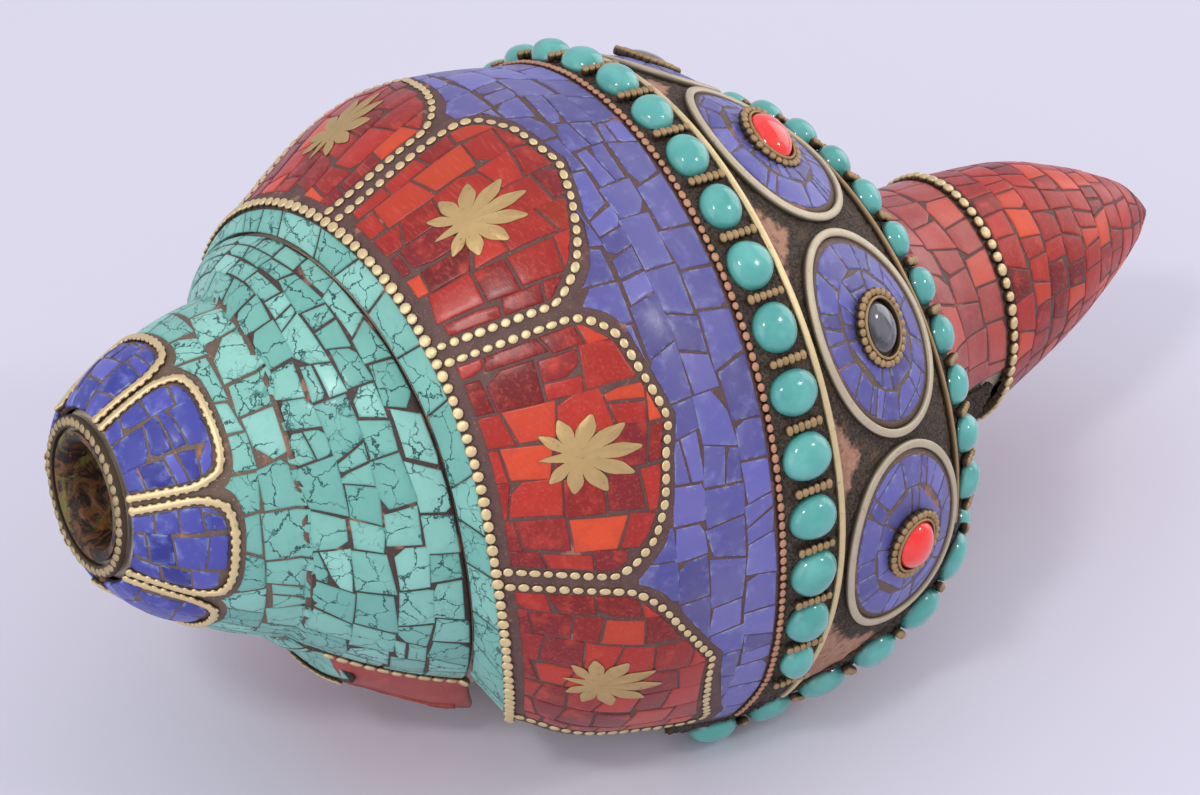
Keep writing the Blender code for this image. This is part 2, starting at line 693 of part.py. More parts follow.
def lapis_band():
    """Lapis between the petals and the girdle wire."""
    theta_all, low_all = [], []
    for first, last in zip(PETAL_EDGES[:-1], PETAL_EDGES[1:]):
        middle, half = (first + last) / 2.0, (last - first) / 2.0
        for u in (-1.0, -0.8, -0.45, PETAL_POINT_AT, 0.2, 0.6, 0.9):
            theta_all.append(middle + u * half)
            low_all.append(float(petal_edge(np.array(u))) + 2.0)
    theta = np.array(theta_all)
    low = np.array(low_all)
    keep = theta > BANDS_START
    theta, low = theta[keep], low[keep]
    w_low = 3.0 + (along("shoulder", 1.0, theta) - 3.0) * low
    w_high = along("girdle", -SEAM, theta)
    skin("lapis_band", w_low, w_high, theta, 4, "lapis")


def stone_row(bed, centres, normals, runs, widths, size, sides=6):
    """Domed stones, united with the strip they are set in."""
    long, high = size
    turn = 2.0 * math.pi * np.arange(sides) / sides
    points, faces = [], []
    for centre, normal, run, wide in zip(centres, normals, runs, widths):
        across = np.cross(normal, run)
        base = len(points)
        for share, lift in ((1.0, -0.2), (0.94, 0.45), (0.5, 0.93)):
            ring = np.outer(np.cos(turn), across * wide) + np.outer(np.sin(turn), run * long)
            points += list(centre + (ring * share / 2.0 + normal * high * lift) * MM)
        for row in range(2):
            for k in range(sides):
                a, b = base + row * sides + k, base + row * sides + (k + 1) % sides
                faces.append((a, b, b + sides, a + sides))
        faces.append(tuple(base + 2 * sides + k for k in range(sides)))
        faces.append(tuple(base + k for k in reversed(range(sides))))
    stones = mesh_object(bed.name + "_domes", points, faces, None, CUTTERS)
    face_out(stones.data)
    add_modifier(bed, "BOOLEAN", operation="UNION", object=stones)


def frames_along(points, theta, w):
    """Normals of the surface and directions along a line of points."""
    below = surface(w, theta, 1.0)
    normals = points - below
    run = np.gradient(points, axis=0)
    run /= np.linalg.norm(run, axis=1)[:, None]
    normals /= np.linalg.norm(normals, axis=1)[:, None]
    normals -= (normals * run).sum(1)[:, None] * run
    normals /= np.linalg.norm(normals, axis=1)[:, None]
    return normals, run


def spaced(w_of, first, last, pitch):
    """Angles that step round the shell by a fixed pitch in mm."""
    angles = [last]
    while angles[-1] > first:
        angles.append(angles[-1] - degrees(pitch, w_of(angles[-1]), angles[-1]))
    return np.array(angles[:-1])


def upper_row():
    """The row of large cabochons between the girdle wire and the band's top wire."""
    theta = np.linspace(BANDS_START, ROW_END, 32)
    bed = skin(
        "upper_stone_row", along("girdle", SEAM, theta), along("band_top", -SEAM, theta), theta, 2,
        "cabochon", depth=0.3, thickness=1.0,
    )

    def middle(angle):
        return (along("girdle", SEAM, angle) + along("band_top", -SEAM, angle)) / 2.0

    angles = spaced(middle, BANDS_START + 5.0, UPPER_LAST, UPPER_PITCH)
    centres = surface(middle(angles), angles, 0.3)
    edges = [
        surface(along("girdle", SEAM, angles), angles),
        surface(along("band_top", -SEAM, angles), angles),
    ]
    widths = np.linalg.norm(edges[1] - edges[0], axis=1) / MM + 0.2
    normals, runs = frames_along(centres, angles, middle(angles))
    stone_row(bed, centres, normals, runs, widths, UPPER_STONE)


def lower_row():
    """The row of small cabochons at the foot of the medallion band."""
    theta = np.linspace(BANDS_START, LOWER_ROW_END, 30)
    low = along("band_foot", -LOWER_STRIP / 2.0, theta)
    high = along("band_foot", LOWER_STRIP / 2.0, theta)
    bed = skin("lower_stone_row", low, high, theta, 3, "cabochon", depth=0.3, thickness=0.9)
    angles = spaced(lambda angle: 7.0, BANDS_START + 4.0, LOWER_LAST, LOWER_PITCH)
    centres = surface(7.0, angles, 0.3)
    normals, runs = frames_along(centres, angles, 7.0 + 0.0 * angles)
    widths = np.full(len(angles), LOWER_STRIP - 0.6)
    stone_row(bed, centres, normals, runs, widths, LOWER_STONE)


def lip_row():
    """The row of long cabochons that edges the lip."""
    w = np.linspace(LIP_REACH[0], LIP_REACH[1], 22)
    rows = []
    for offset in (STRIP_WIDTH, STRIP_WIDTH / 2.0, 0.2):
        theta = lip(w) - degrees(offset, w, lip(w))
        rows.append(surface(w, theta, 0.2))
    points = np.concatenate(rows)
    bed = mesh_object("lip_stone_row", points, grid_faces(3, len(w)), "cabochon", PARTS)
    face_away(bed.data)
    thicken(bed, 1.0)
    fine = np.linspace(LIP_REACH[0] + 0.1, LIP_REACH[1] - 0.1, 400)
    middle = lip(fine) - degrees(STRIP_WIDTH / 2.0, fine, lip(fine))
    line = surface(fine, middle, 0.2)
    length = np.concatenate([[0.0], np.cumsum(np.linalg.norm(np.diff(line, axis=0), axis=1))])
    count = int((length[-1] / MM - LIP_STONE[0]) / LIP_PITCH) + 1
    pick = np.searchsorted(length, (LIP_STONE[0] / 2.0 + np.arange(count) * LIP_PITCH) * MM)
    normals, runs = frames_along(line, middle, fine)
    widths = np.full(count, STRIP_WIDTH - 0.8)
    stone_row(bed, line[pick], normals[pick], runs[pick], widths, LIP_STONE)


def face_away(mesh):
    """Turns an open sheet's faces away from the coiling axis."""
    work = bmesh.new()
    work.from_mesh(mesh)
    start, end = place(0.0, 0.0, 0.0), place(LENGTH, 0.0, 0.0)
    along_axis = (end - start) / np.linalg.norm(end - start)
    total = 0.0
    for face in work.faces:
        out = np.array(face.calc_center_median()) - start
        out -= (out @ along_axis) * along_axis
        total += float(np.array(face.normal) @ out)
    if total < 0.0:
        bmesh.ops.reverse_faces(work, faces=work.faces)
    work.to_mesh(mesh)
    work.free()


def medallion_band():
    """The ground between the top wire and the lower row, which the medallions are set on."""
    rows = 5
    share = np.linspace(0.0, 1.0, rows)
    near_lip = 155.0
    w = along("band_top", SEAM, near_lip)
    w = w + (along("band_foot", -LOWER_STRIP / 2.0 - GAP, near_lip) - w) * share
    end = lip(w) - degrees(STRIP_WIDTH + 0.8, w, lip(w))
    theta = BANDS_START + (end[:, None] - BANDS_START) * np.linspace(0.0, 1.0, 30)
    low = along("band_top", SEAM, theta)
    high = along("band_foot", -LOWER_STRIP / 2.0 - GAP, theta)
    skin("medallion_band", low, high, theta, rows, "lac", depth=0.75, thickness=0.5)


def medallion_point(middle, x, y, depth):
    """A point of the band: x and y go from -1 to 1 round the shell and across the band."""
    theta = middle + x * MEDALLION_HALF_TURN
    low = along("band_top", SEAM + MEDALLION_MARGIN, theta)
    high = along("band_foot", -LOWER_STRIP / 2.0 - GAP - MEDALLION_MARGIN, theta)
    return surface((low + high) / 2.0 + y * (high - low) / 2.0, theta, depth)


def medallions():
    """Oval lapis plaques, each in a brass frame and with a stone in a rope bezel at its middle."""
    sides = 16
    angles = np.arange(sides) * 2.0 * math.pi / sides
    x, y = np.cos(angles), np.sin(angles)
    hub_depth = -0.75 - MEDALLION_RISE
    for k, middle in enumerate(MEDALLIONS):
        frame = medallion_point(middle, x, y, -0.3)
        wire(f"medallion_frame_{k + 1}", frame, 0.7, "brass", closed=True)
        rings = [
            medallion_point(middle, x * 0.9, y * 0.86, -0.65),
            medallion_point(middle, x * 0.5, y * 0.48, hub_depth),
            medallion_point(middle, 0.0, 0.0, hub_depth)[None],
        ]
        faces = []
        for j in range(sides):
            n = (j + 1) % sides
            faces.append((j, n, sides + n, sides + j))
            faces.append((sides + j, sides + n, 2 * sides))
        plaque = mesh_object(f"lapis_plaque_{k + 1}", np.concatenate(rings), faces, "lapis", PARTS)
        face_away(plaque.data)
        thicken(plaque, SKIN)
        set_stone(k, middle, hub_depth)


def set_stone(k, middle, hub_depth, sides=12):
    """A domed stone in its bezel, seated on the plaque's crown."""
    hub = medallion_point(middle, 0.0, 0.0, hub_depth)
    run = medallion_point(middle, 0.4, 0.0, hub_depth) - medallion_point(middle, -0.4, 0.0, hub_depth)
    up = medallion_point(middle, 0.0, 0.5, hub_depth) - medallion_point(middle, 0.0, -0.5, hub_depth)
    run /= np.linalg.norm(run)
    normal = np.cross(run, up)
    normal *= np.sign(normal @ (hub - medallion_point(middle, 0.0, 0.0, 1.0)))
    normal /= np.linalg.norm(normal)
    across = np.cross(normal, run)
    section = (
        (STONE_SEAT_R, 0.4),
        (STONE_SEAT_R * 0.97, 1.3),
        (STONE_DOME_R, 1.6),
        (STONE_DOME_R * 0.72, STONE_HEIGHT * 0.88),
    )
    turn = 2.0 * math.pi * np.arange(sides) / sides
    ring = np.outer(np.cos(turn), run) + np.outer(np.sin(turn), across * 0.88)
    points = [hub + (ring * radius + normal * height) * MM for radius, height in section]
    points.append([hub + normal * STONE_HEIGHT * MM])
    faces = grid_faces(len(section), sides, closed=True)
    top = (len(section) - 1) * sides
    for j in range(sides):
        faces.append((top + j, top + (j + 1) % sides, top + sides))
    faces.append(tuple(reversed(range(sides))))
    name = f"medallion_stone_{k + 1}"
    made = mesh_object(name, np.concatenate(points), faces, "red_stone", PARTS)
    face_out(made.data)


def canal():
    """Coral on the neck, the beaded ring and the raised coral tip."""
    theta = np.linspace(lip(8.0) - 360.0 + 26.0, lip(8.0) - 22.0, 26)
    high = along("canal_ring", -SEAM, theta)
    low = along("band_foot", LOWER_STRIP / 2.0 + GAP, theta)
    skin("neck_coral", low, high, theta, 5, "coral")
    round_it = np.arange(24) * 15.0
    ring = surface(9.0, round_it, 0.1)
    wire("canal_ring", ring, 1.1, "brass", closed=True, resolution=1)
    levels = [along("canal_ring", SEAM + 0.25, round_it), 9.5, 10.0, 10.5, 11.0, 11.5]
    rows = [surface(w, round_it, -0.3) for w in levels]
    tip = surface(12.0, 0.0, -0.3)[None]
    points = np.concatenate([*rows, tip])
    faces = grid_faces(len(rows), 24, closed=True)
    end = (len(rows) - 1) * 24
    for j in range(24):
        faces.append((end + j, end + (j + 1) % 24, len(points) - 1))
    sheet = mesh_object("canal_tip_coral", points, faces, "coral", PARTS)
    face_away(sheet.data)
    thicken(sheet, SKIN)


def clear_scene():
    for old in list(bpy.data.objects):
        bpy.data.objects.remove(old)


def hide_cutters():
    for cutter in CUTTERS.objects:
        cutter.hide_render = True
        cutter.display_type = "WIRE"


def build():
    conch_shell()
    turned("blow_hole_ring", RING_SECTION, "brass")
    turned("mouth_cup", CUP_SECTION, "brass", sides=24)
    apex_petals()
    spire_mosaic()
    ramp_mosaic()
    ring_wire("shoulder_wire", "shoulder", 0.0, -168.0, 168.0, WIRE_R, "brass")
    coral_petals()
    parietal_coral()
    lapis_band()
    ring_wire("girdle_wire", "girdle", 0.0, BANDS_START, 165.0, WIRE_R, "copper")
    upper_row()
    ring_wire("band_top_wire", "band_top", 0.0, BANDS_START, 163.0, WIRE_R, "brass")
    medallion_band()
    medallions()
    lower_row()
    lip_row()
    canal()
    hide_cutters()


clear_scene()
PARTS = new_collection("conch_shell_trumpet")
CUTTERS = new_collection("cutters")
build()
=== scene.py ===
"""The looks of the conch shell trumpet: its mosaic, beaded wires, set stones and their materials.

Places on the shell are given in its own coordinates, as in the CAD: s runs along the coiling axis
from the blow hole, theta turns round it in degrees, R is the distance from it, and w counts the
stations of the profile. Sizes are in millimetres until surface() turns them into metres.
"""

import math

import bpy
import numpy as np
from mathutils import Matrix, Vector


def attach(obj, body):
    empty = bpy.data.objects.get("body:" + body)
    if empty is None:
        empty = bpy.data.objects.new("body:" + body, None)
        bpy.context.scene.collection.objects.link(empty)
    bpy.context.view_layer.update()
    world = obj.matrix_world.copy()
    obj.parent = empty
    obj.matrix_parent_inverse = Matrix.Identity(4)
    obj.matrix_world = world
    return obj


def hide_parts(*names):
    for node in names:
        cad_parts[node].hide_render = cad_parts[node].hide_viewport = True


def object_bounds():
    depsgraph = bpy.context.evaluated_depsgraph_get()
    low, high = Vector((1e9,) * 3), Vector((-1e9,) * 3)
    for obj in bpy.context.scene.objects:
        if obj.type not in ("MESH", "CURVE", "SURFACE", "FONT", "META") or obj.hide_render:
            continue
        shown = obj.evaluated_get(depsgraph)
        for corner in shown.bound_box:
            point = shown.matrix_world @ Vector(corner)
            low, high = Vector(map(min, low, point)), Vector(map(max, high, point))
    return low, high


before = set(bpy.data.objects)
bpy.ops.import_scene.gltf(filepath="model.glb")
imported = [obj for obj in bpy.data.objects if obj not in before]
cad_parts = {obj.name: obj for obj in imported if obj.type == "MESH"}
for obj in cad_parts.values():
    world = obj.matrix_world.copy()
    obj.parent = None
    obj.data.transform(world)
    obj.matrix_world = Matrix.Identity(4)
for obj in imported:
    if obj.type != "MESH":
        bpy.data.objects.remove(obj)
CAD_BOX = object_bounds()

MM = 0.001
LENGTH = 200.0
DROOP = 6.93
THETA_UP = 37.0
AXIS_START = (-98.96, 7.21, 56.0)
STATIONS = (
    # name      s0     s_cos s_sin  R0    R_cos R_sin  grows  flare
    ("rim", 1.2, 0.0, 0.0, 13.0, 0.9, 0.9, False, (0.0, 0.0)),
    ("crease", 26.6, -0.3, -4.9, 25.4, 1.4, 0.3, True, (0.0, 0.0)),
    ("suture", 37.5, -4.7, 0.6, 36.0, -0.7, 0.2, True, (-0.3, 10.5)),
    ("shoulder", 39.1, -3.9, 0.5, 40.3, -1.0, 2.8, True, (3.8, 14.8)),
    ("belly", 60.8, -3.0, 0.4, 51.5, 1.2, 4.4, True, (-2.2, 2.5)),
    ("girdle", 84.5, -2.7, -4.3, 52.0, 0.1, 4.1, True, (0.9, 7.8)),
    ("band_top", 94.8, -4.6, -5.0, 52.2, -0.3, 3.9, True, (-0.5, -3.9)),
    ("band_foot", 120.2, -6.2, -1.5, 42.2, -4.2, 3.5, True, (0.0, 0.0)),
    ("neck", 138.0, -2.8, -0.7, 22.9, -5.7, 1.6, False, (0.0, 0.0)),
    ("canal_ring", 155.1, -0.4, -1.9, 20.0, -3.3, 0.6, False, (0.0, 0.0)),
    ("taper", 178.1, 0.8, 0.2, 13.8, 0.0, 0.0, False, (0.0, 0.0)),
    ("nose", 192.8, 0.5, 0.7, 6.1, 0.0, 0.0, False, (0.0, 0.0)),
    ("tip", LENGTH, 0.0, 0.0, 0.3, 0.0, 0.0, False, (0.0, 0.0)),
)
BEND_AT = ("canal_ring", "taper", "nose", "tip")
BEND_UP = (0.0, 0.3, 2.1, 2.1)
BEND_SIDE = (0.0, 1.6, 2.5, 2.5)
NAMES = [row[0] for row in STATIONS]
GROWTH = 0.06
GROWTH_FROM = 90.0
FLARE_FROM = 110.0
FLARE_OVER = 70.0
FLARE_CAP = {"girdle": 0.35, "band_top": 0.35}
FAR_SIDE = {
    "crease": (26.7, 26.5),
    "suture": (32.0, 29.6),
    "shoulder": (36.0, 36.3),
    "belly": (58.0, 46.6),
    "girdle": (82.0, 48.3),
    "band_top": (91.0, 48.6),
    "band_foot": (117.0, 37.5),
}
FAR_FROM = -30.0
FAR_OVER = 80.0
SMOOTH_KNOTS = (0.0, 25.0, 46.0, 57.0, 86.0, 106.0, 122.0, 148.0, 163.0, 173.0)
SHOULDER = NAMES.index("shoulder")
GIRDLE = NAMES.index("girdle")
BAND_TOP = NAMES.index("band_top")
BAND_FOOT = NAMES.index("band_foot")
CANAL_RING = NAMES.index("canal_ring")
BULGE_APEX = 2.1
BULGE_CONE = 1.2
CREASE_STEP = 0.8
SUTURE_STEP = 0.3
LIP = (178, 178, 178, 178, 178, 178, 175, 148, 158, 162, 165, 170, 178)
ALL_ROUND = np.linspace(LIP[0] - 360.0, LIP[0], 301)[:-1]
HOLE_CENTRE = (0.9, 0.9)

# How far the grout lies below the faces of the tiles, and how deep the tiles go.
GROUT_DROP = 0.14
TILE_DEPTH = 0.6
BED_THICKNESS = 1.0
# The rings of points of a tile: how far in, how high, and how much of the rounded edge it is; lapis is
# worn pale there, turquoise and coral are darkened there as painted shade.
TILE_SECTION = ((0.0, -TILE_DEPTH, 1.0), (0.0, -0.11, 1.0), (0.10, -0.03, 0.9), (0.32, 0.0, 0.25))
# How far apart in the noise of their material two tiles can lie, in mm.
TILE_SHIFT = 90.0
# The rings of points of a bead and of a bezel, with the crown of each, 1 where it is polished; the metal
# is painted dark as shade where the crown is low.
BEAD_SIDES = 10
BEAD_RINGS = (
    # width height crown
    (0.70, -0.75, 0.0),
    (1.0, -0.25, 0.0),
    (1.0, 0.10, 0.3),
    (0.90, 0.46, 0.75),
    (0.66, 0.62, 1.0),
)
BEZEL_RINGS = (
    # long wide height
    (4.75, 3.95, -0.5),
    (4.75, 3.95, 1.15),
    (4.55, 3.75, 1.35),
    (4.3, 3.5, 1.15),
    (4.3, 3.5, -0.5),
)
BEZEL_CROWNS = (0.0, 0.6, 1.0, 0.3, 0.0)
BOX_MARGIN = 0.01 * MM

APEX_PETALS = 7
APEX_PITCH = 360.0 / APEX_PETALS
APEX_VALLEY = 45.5
APEX_FOOT = 1.7
APEX_SIDE = 9.6
APEX_ARCH = 3.6
APEX_RISE = 1.1
APEX_MM_PER_W = 28.0
RAMP_ENDS = (-176.0, 167.5)

PETAL_EDGES = (-144.0, -96.0, -48.0, -2.0, 40.0, 80.0, 123.5, 166.0)
# How far each petal reaches from the shoulder wire, across its width from -1 to 1.
PETAL_REACH = {
    "plain": (
        (-1.0, -0.9, -0.76, -0.5, -0.17, 0.0, 0.2, 0.5, 0.75, 0.9, 1.0),
        (19.5, 22.0, 24.4, 26.6, 29.6, 28.4, 27.2, 25.6, 23.6, 21.4, 19.5),
    ),
    "upper": (
        (-1.0, -0.9, -0.65, -0.3, -0.17, 0.2, 0.52, 0.75, 0.9, 1.0),
        (22.0, 26.5, 29.4, 30.7, 31.6, 29.0, 25.9, 23.4, 20.5, 19.0),
    ),
    "middle": (
        (-1.0, -0.91, -0.79, -0.56, -0.36, -0.15, 0.0, 0.1, 0.43, 0.7, 0.84, 1.0),
        (19.2, 22.5, 24.6, 25.8, 27.2, 28.7, 27.5, 26.6, 25.1, 22.8, 20.4, 17.5),
    ),
    "lower": (
        (-1.0, -0.91, -0.76, -0.48, -0.2, 0.06, 0.41, 0.8, 1.0),
        (18.4, 21.6, 24.3, 28.2, 31.1, 29.8, 28.3, 27.0, 25.5),
    ),
}
PETAL_KINDS = ("plain", "plain", "plain", "plain", "upper", "middle", "lower")
PETAL_RISE = 0.36
PETAL_MM_PER_W = 24.5
PARIETAL_EDGES = (-172.0, -144.0)
MOTIF_PETALS = (1, 2, 3, 4, 5, 6)
SEAM = 1.35

BANDS_START = -119.0
ROW_END = 162.0
LOWER_ROW_END = 134.5
UPPER_LAST = 147.3
UPPER_PITCH = 9.5
LOWER_LAST = 127.0
LOWER_PITCH = 7.75
LOWER_HALF = 3.1
STRIP_WIDTH = 8.6
LIP_PITCH = 9.3
LIP_LONG = 7.9
LIP_REACH = (4.7, 8.75)
GAP = 0.35

MEDALLIONS = (-93.0, -53.0, -14.5, 23.0, 59.0, 94.5, 129.5)
CRYSTALS = (1, 3, 5)
MEDALLION_HALF_TURN = 16.3
MEDALLION_MARGIN = 1.2
MEDALLION_RISE = 0.5
PLAQUE_LIFT = 0.2
TIP_LIFT = 0.3


def smooth_step(t):
    t = np.clip(t, 0.0, 1.0)
    return t * t * (3.0 - 2.0 * t)


def stations(theta):
    """s and R of every station at each angle, as arrays with the station as the last axis."""
    turn = np.radians(theta)
    far = smooth_step((FAR_FROM - theta) / FAR_OVER)
    flare = np.clip((theta - FLARE_FROM) / FLARE_OVER, 0.0, None) ** 2
    all_s, all_r = [], []
    for name, s0, s_cos, s_sin, r0, r_cos, r_sin, grows, (flare_r, flare_s) in STATIONS:
        growth = np.exp(GROWTH * np.radians(theta - GROWTH_FROM)) if grows else 1.0
        drop = np.minimum(flare, FLARE_CAP.get(name, 2.0))
        s = s0 + s_cos * np.cos(turn) + s_sin * np.sin(turn) + flare_s * drop
        r = r0 * growth + r_cos * np.cos(turn) + r_sin * np.sin(turn) + flare_r * flare
        if name in FAR_SIDE:
            far_s, far_r = FAR_SIDE[name]
            s = s + (far_s - s) * far
            r = r + (far_r - r) * far
        all_s.append(s)
        all_r.append(r)
    return np.stack(all_s, -1), np.stack(all_r, -1)


def smooth_curve(values, at):
    """A smooth curve through the values at SMOOTH_KNOTS, read at knot number `at`."""
    knots = np.array(SMOOTH_KNOTS)
    spans = np.diff(knots)
    slopes = np.diff(values, axis=-1) / spans
    tangents = np.empty_like(values)
    tangents[..., 1:-1] = slopes[..., :-1] * spans[1:] + slopes[..., 1:] * spans[:-1]
    tangents[..., 1:-1] /= spans[:-1] + spans[1:]
    tangents[..., 0] = slopes[..., 0]
    tangents[..., -1] = slopes[..., -1]
    i = np.clip(at.astype(int), 0, len(spans) - 1)
    t = at - i
    span = spans[i]

    def pick(array, index):
        return np.take_along_axis(array, index[..., None], -1)[..., 0]

    start, end = pick(values, i), pick(values, i + 1)
    leave, arrive = pick(tangents, i) * span, pick(tangents, i + 1) * span
    return (
        (2 * t**3 - 3 * t**2 + 1) * start
        + (t**3 - 2 * t**2 + t) * leave
        + (3 * t**2 - 2 * t**3) * end
        + (t**3 - t**2) * arrive
    )


def profile(w, theta):
    """(s, R) of the outer surface. w counts stations: 1.5 is halfway from crease to suture."""
    w, theta = np.broadcast_arrays(np.asarray(w, float), np.asarray(theta, float))
    all_s, all_r = stations(theta)
    i = np.clip(w.astype(int), 0, SHOULDER - 1)
    t = w - i
    hump = 4.0 * t * (1.0 - t)
    bulge = np.choose(i, (BULGE_APEX, BULGE_CONE, 0.0))
    step = np.choose(i, (0.0, CREASE_STEP, SUTURE_STEP)) * (1.0 - t)

    def straight(values):
        start = np.take_along_axis(values, i[..., None], -1)[..., 0]
        end = np.take_along_axis(values, i[..., None] + 1, -1)[..., 0]
        return start + (end - start) * t

    s = straight(all_s)
    r = straight(all_r) + bulge * hump + step
    smooth = w >= SHOULDER
    at = np.clip(w - SHOULDER, 0.0, None)
    s = np.where(smooth, smooth_curve(all_s[..., SHOULDER:], at), s)
    r = np.where(smooth, smooth_curve(all_r[..., SHOULDER:], at), r)
    return s, r


def place(s, r, theta):
    """The point in the world, in metres, of shell coordinates."""
    droop, turn = math.radians(DROOP), np.radians(np.asarray(theta, float) - THETA_UP)
    across = r * np.cos(turn)
    x = AXIS_START[0] + s * math.cos(droop) + across * math.sin(droop)
    y = AXIS_START[1] - r * np.sin(turn)
    z = AXIS_START[2] - s * math.sin(droop) + across * math.cos(droop)
    return np.stack(np.broadcast_arrays(x, y, z), -1) * MM


def surface(w, theta, lift=0.0):
    """A point of the outer surface in metres, `lift` mm above it along the profile's normal."""
    w, theta, lift = np.broadcast_arrays(*(np.asarray(a, float) for a in (w, theta, lift)))
    s, r = profile(w, theta)
    before = profile(np.maximum(w - 0.03, 0.0), theta)
    after = profile(np.minimum(w + 0.03, len(NAMES) - 1.0), theta)
    ds, dr = after[0] - before[0], after[1] - before[1]
    length = np.hypot(ds, dr) + 1e-9
    points = place(s - lift * dr / length, np.maximum(r + lift * ds / length, 0.0), theta)
    centre = place(0.0, 0.0, 0.0)
    bend_from = [NAMES.index(name) for name in BEND_AT]
    for amount, direction in ((BEND_UP, 0.0), (BEND_SIDE, 90.0)):
        way = place(0.0, 1.0, direction) - centre
        points = points + np.interp(w, bend_from, amount)[..., None] * way
    return points


def along(station, offset, theta):
    """The w of a point `offset` mm from a station along the profile."""
    k = NAMES.index(station)
    all_s, all_r = stations(np.asarray(theta, float))
    other = k + 1 if np.max(offset) > 0 else k - 1
    length = np.hypot(all_s[..., other] - all_s[..., k], all_r[..., other] - all_r[..., k])
    return k + offset / length


def lengths(line):
    """How far along a line of points each of them is."""
    return np.concatenate([[0.0], np.cumsum(np.linalg.norm(np.diff(line, axis=0), axis=1))])


def degrees(offset, w, theta):
    """The turn that moves a point `offset` mm round the shell."""
    return np.degrees(offset / profile(w, theta)[1])


def lip(w):
    """The angle of the lip's edge."""
    return np.interp(w, range(len(LIP)), LIP)


def unit(vectors):
    return vectors / np.linalg.norm(vectors, axis=-1, keepdims=True)


# Materials


class Shader:
    """A material's node tree, with short calls that add its nodes."""

    def __init__(self, name, **principled):
        self.material = bpy.data.materials.new(name)
        self.material.use_nodes = True
        self.tree = self.material.node_tree
        self.principled = self.tree.nodes["Principled BSDF"]
        for key, value in principled.items():
            self.set(key.replace("_", " "), value)
        self.place = self.tree.nodes.new("ShaderNodeTexCoord").outputs["Object"]

    def set(self, socket_name, value):
        self.put(self.principled.inputs[socket_name], value)

    def put(self, socket, value):
        if isinstance(value, bpy.types.NodeSocket):
            self.tree.links.new(value, socket)
        elif socket.type == "RGBA":
            socket.default_value = (*value[:3], 1.0)
        else:
            socket.default_value = value

    def node(self, kind, out=0, settings=None, **inputs):
        """Adds a node. An input is given by its name, or by its number as i0, i1 and so on."""
        made = self.tree.nodes.new("ShaderNode" + kind)
        for key, value in (settings or {}).items():
            setattr(made, key, value)
        for key, value in inputs.items():
            index = int(key[1:]) if key[0] == "i" and key[1:].isdigit() else key.replace("_", " ")
            self.put(made.inputs[index], value)
        return made.outputs[out]

    def math(self, operation, a, b):
        return self.node("Math", settings={"operation": operation}, i0=a, i1=b)

    def times(self, a, b):
        return self.math("MULTIPLY", a, b)

    def flipped(self, value):
        return self.math("SUBTRACT", 1.0, value)

    def mix(self, share, a, b):
        return self.node("Mix", out=2, settings={"data_type": "RGBA"}, i0=share, i6=a, i7=b)

    def over(self, base, share, amount, colour):
        """The base with a colour over it, by a share times an amount."""
        return self.mix(self.times(share, amount), base, colour)

    def step(self, value, low, high):
        """0 below low, 1 above high, smooth between."""
        settings = {"interpolation_type": "SMOOTHSTEP", "clamp": True}
        return self.node("MapRange", settings=settings, Value=value, From_Min=low, From_Max=high)

    def noise(self, size, detail, roughness=0.5, distortion=0.0, at=None, out=0):
        """Noise with features of about `size` mm."""
        return self.node(
            "TexNoise",
            out=out,
            Vector=at or self.place,
            Scale=1.0 / (size * MM),
            Detail=detail,
            Roughness=roughness,
            Distortion=distortion,
        )

    def spots(self, low, high, *noise, at=None):
        """Noise cut to spots: 0 where it is below low, 1 where it is above high."""
        return self.step(self.noise(*noise, at=at), low, high)

    def moved(self, offset, amount, start=None):
        """The place, or another start, moved by a colour or vector times an amount in mm."""
        scale, add = {"operation": "SCALE"}, {"operation": "ADD"}
        shift = self.node("VectorMath", settings=scale, i0=offset, Scale=amount * MM)
        return self.node("VectorMath", settings=add, i0=start or self.place, i1=shift)

    def attribute(self, name, out=2):
        return self.node("Attribute", out=out, settings={"attribute_name": name})

    def tile(self):
        """The tile's own place in the noise, and its three random numbers."""
        colour = self.attribute("tile", out=0)
        split = self.tree.nodes.new("ShaderNodeSeparateColor")
        self.put(split.inputs[0], colour)
        return self.moved(colour, TILE_SHIFT), *split.outputs[:3]

    def scratches(self, at, size):
        """Fine scratches from polishing, stretched along one direction of the tile."""
        turn, stretch = (0.5, 0.4, 0.6), (1.0, 0.09, 1.0)
        return self.noise(size, 2.0, at=self.node("Mapping", Vector=at, Rotation=turn, Scale=stretch))

    def bump(self, height, distance, strength, normal=None):
        inputs = {"Height": height, "Distance": distance * MM, "Strength": strength}
        if normal:
            inputs["Normal"] = normal
        return self.node("Bump", **inputs)

    def done(self, base, normal=None, roughness=None):
        """The material with its colour and normal, and a roughness of (level, share, amount)."""
        self.set("Base Color", base)
        if normal:
            self.set("Normal", normal)
        if roughness:
            level, share, amount = roughness
            self.set("Roughness", self.math("ADD", level, self.times(share, amount)))
        return self.material


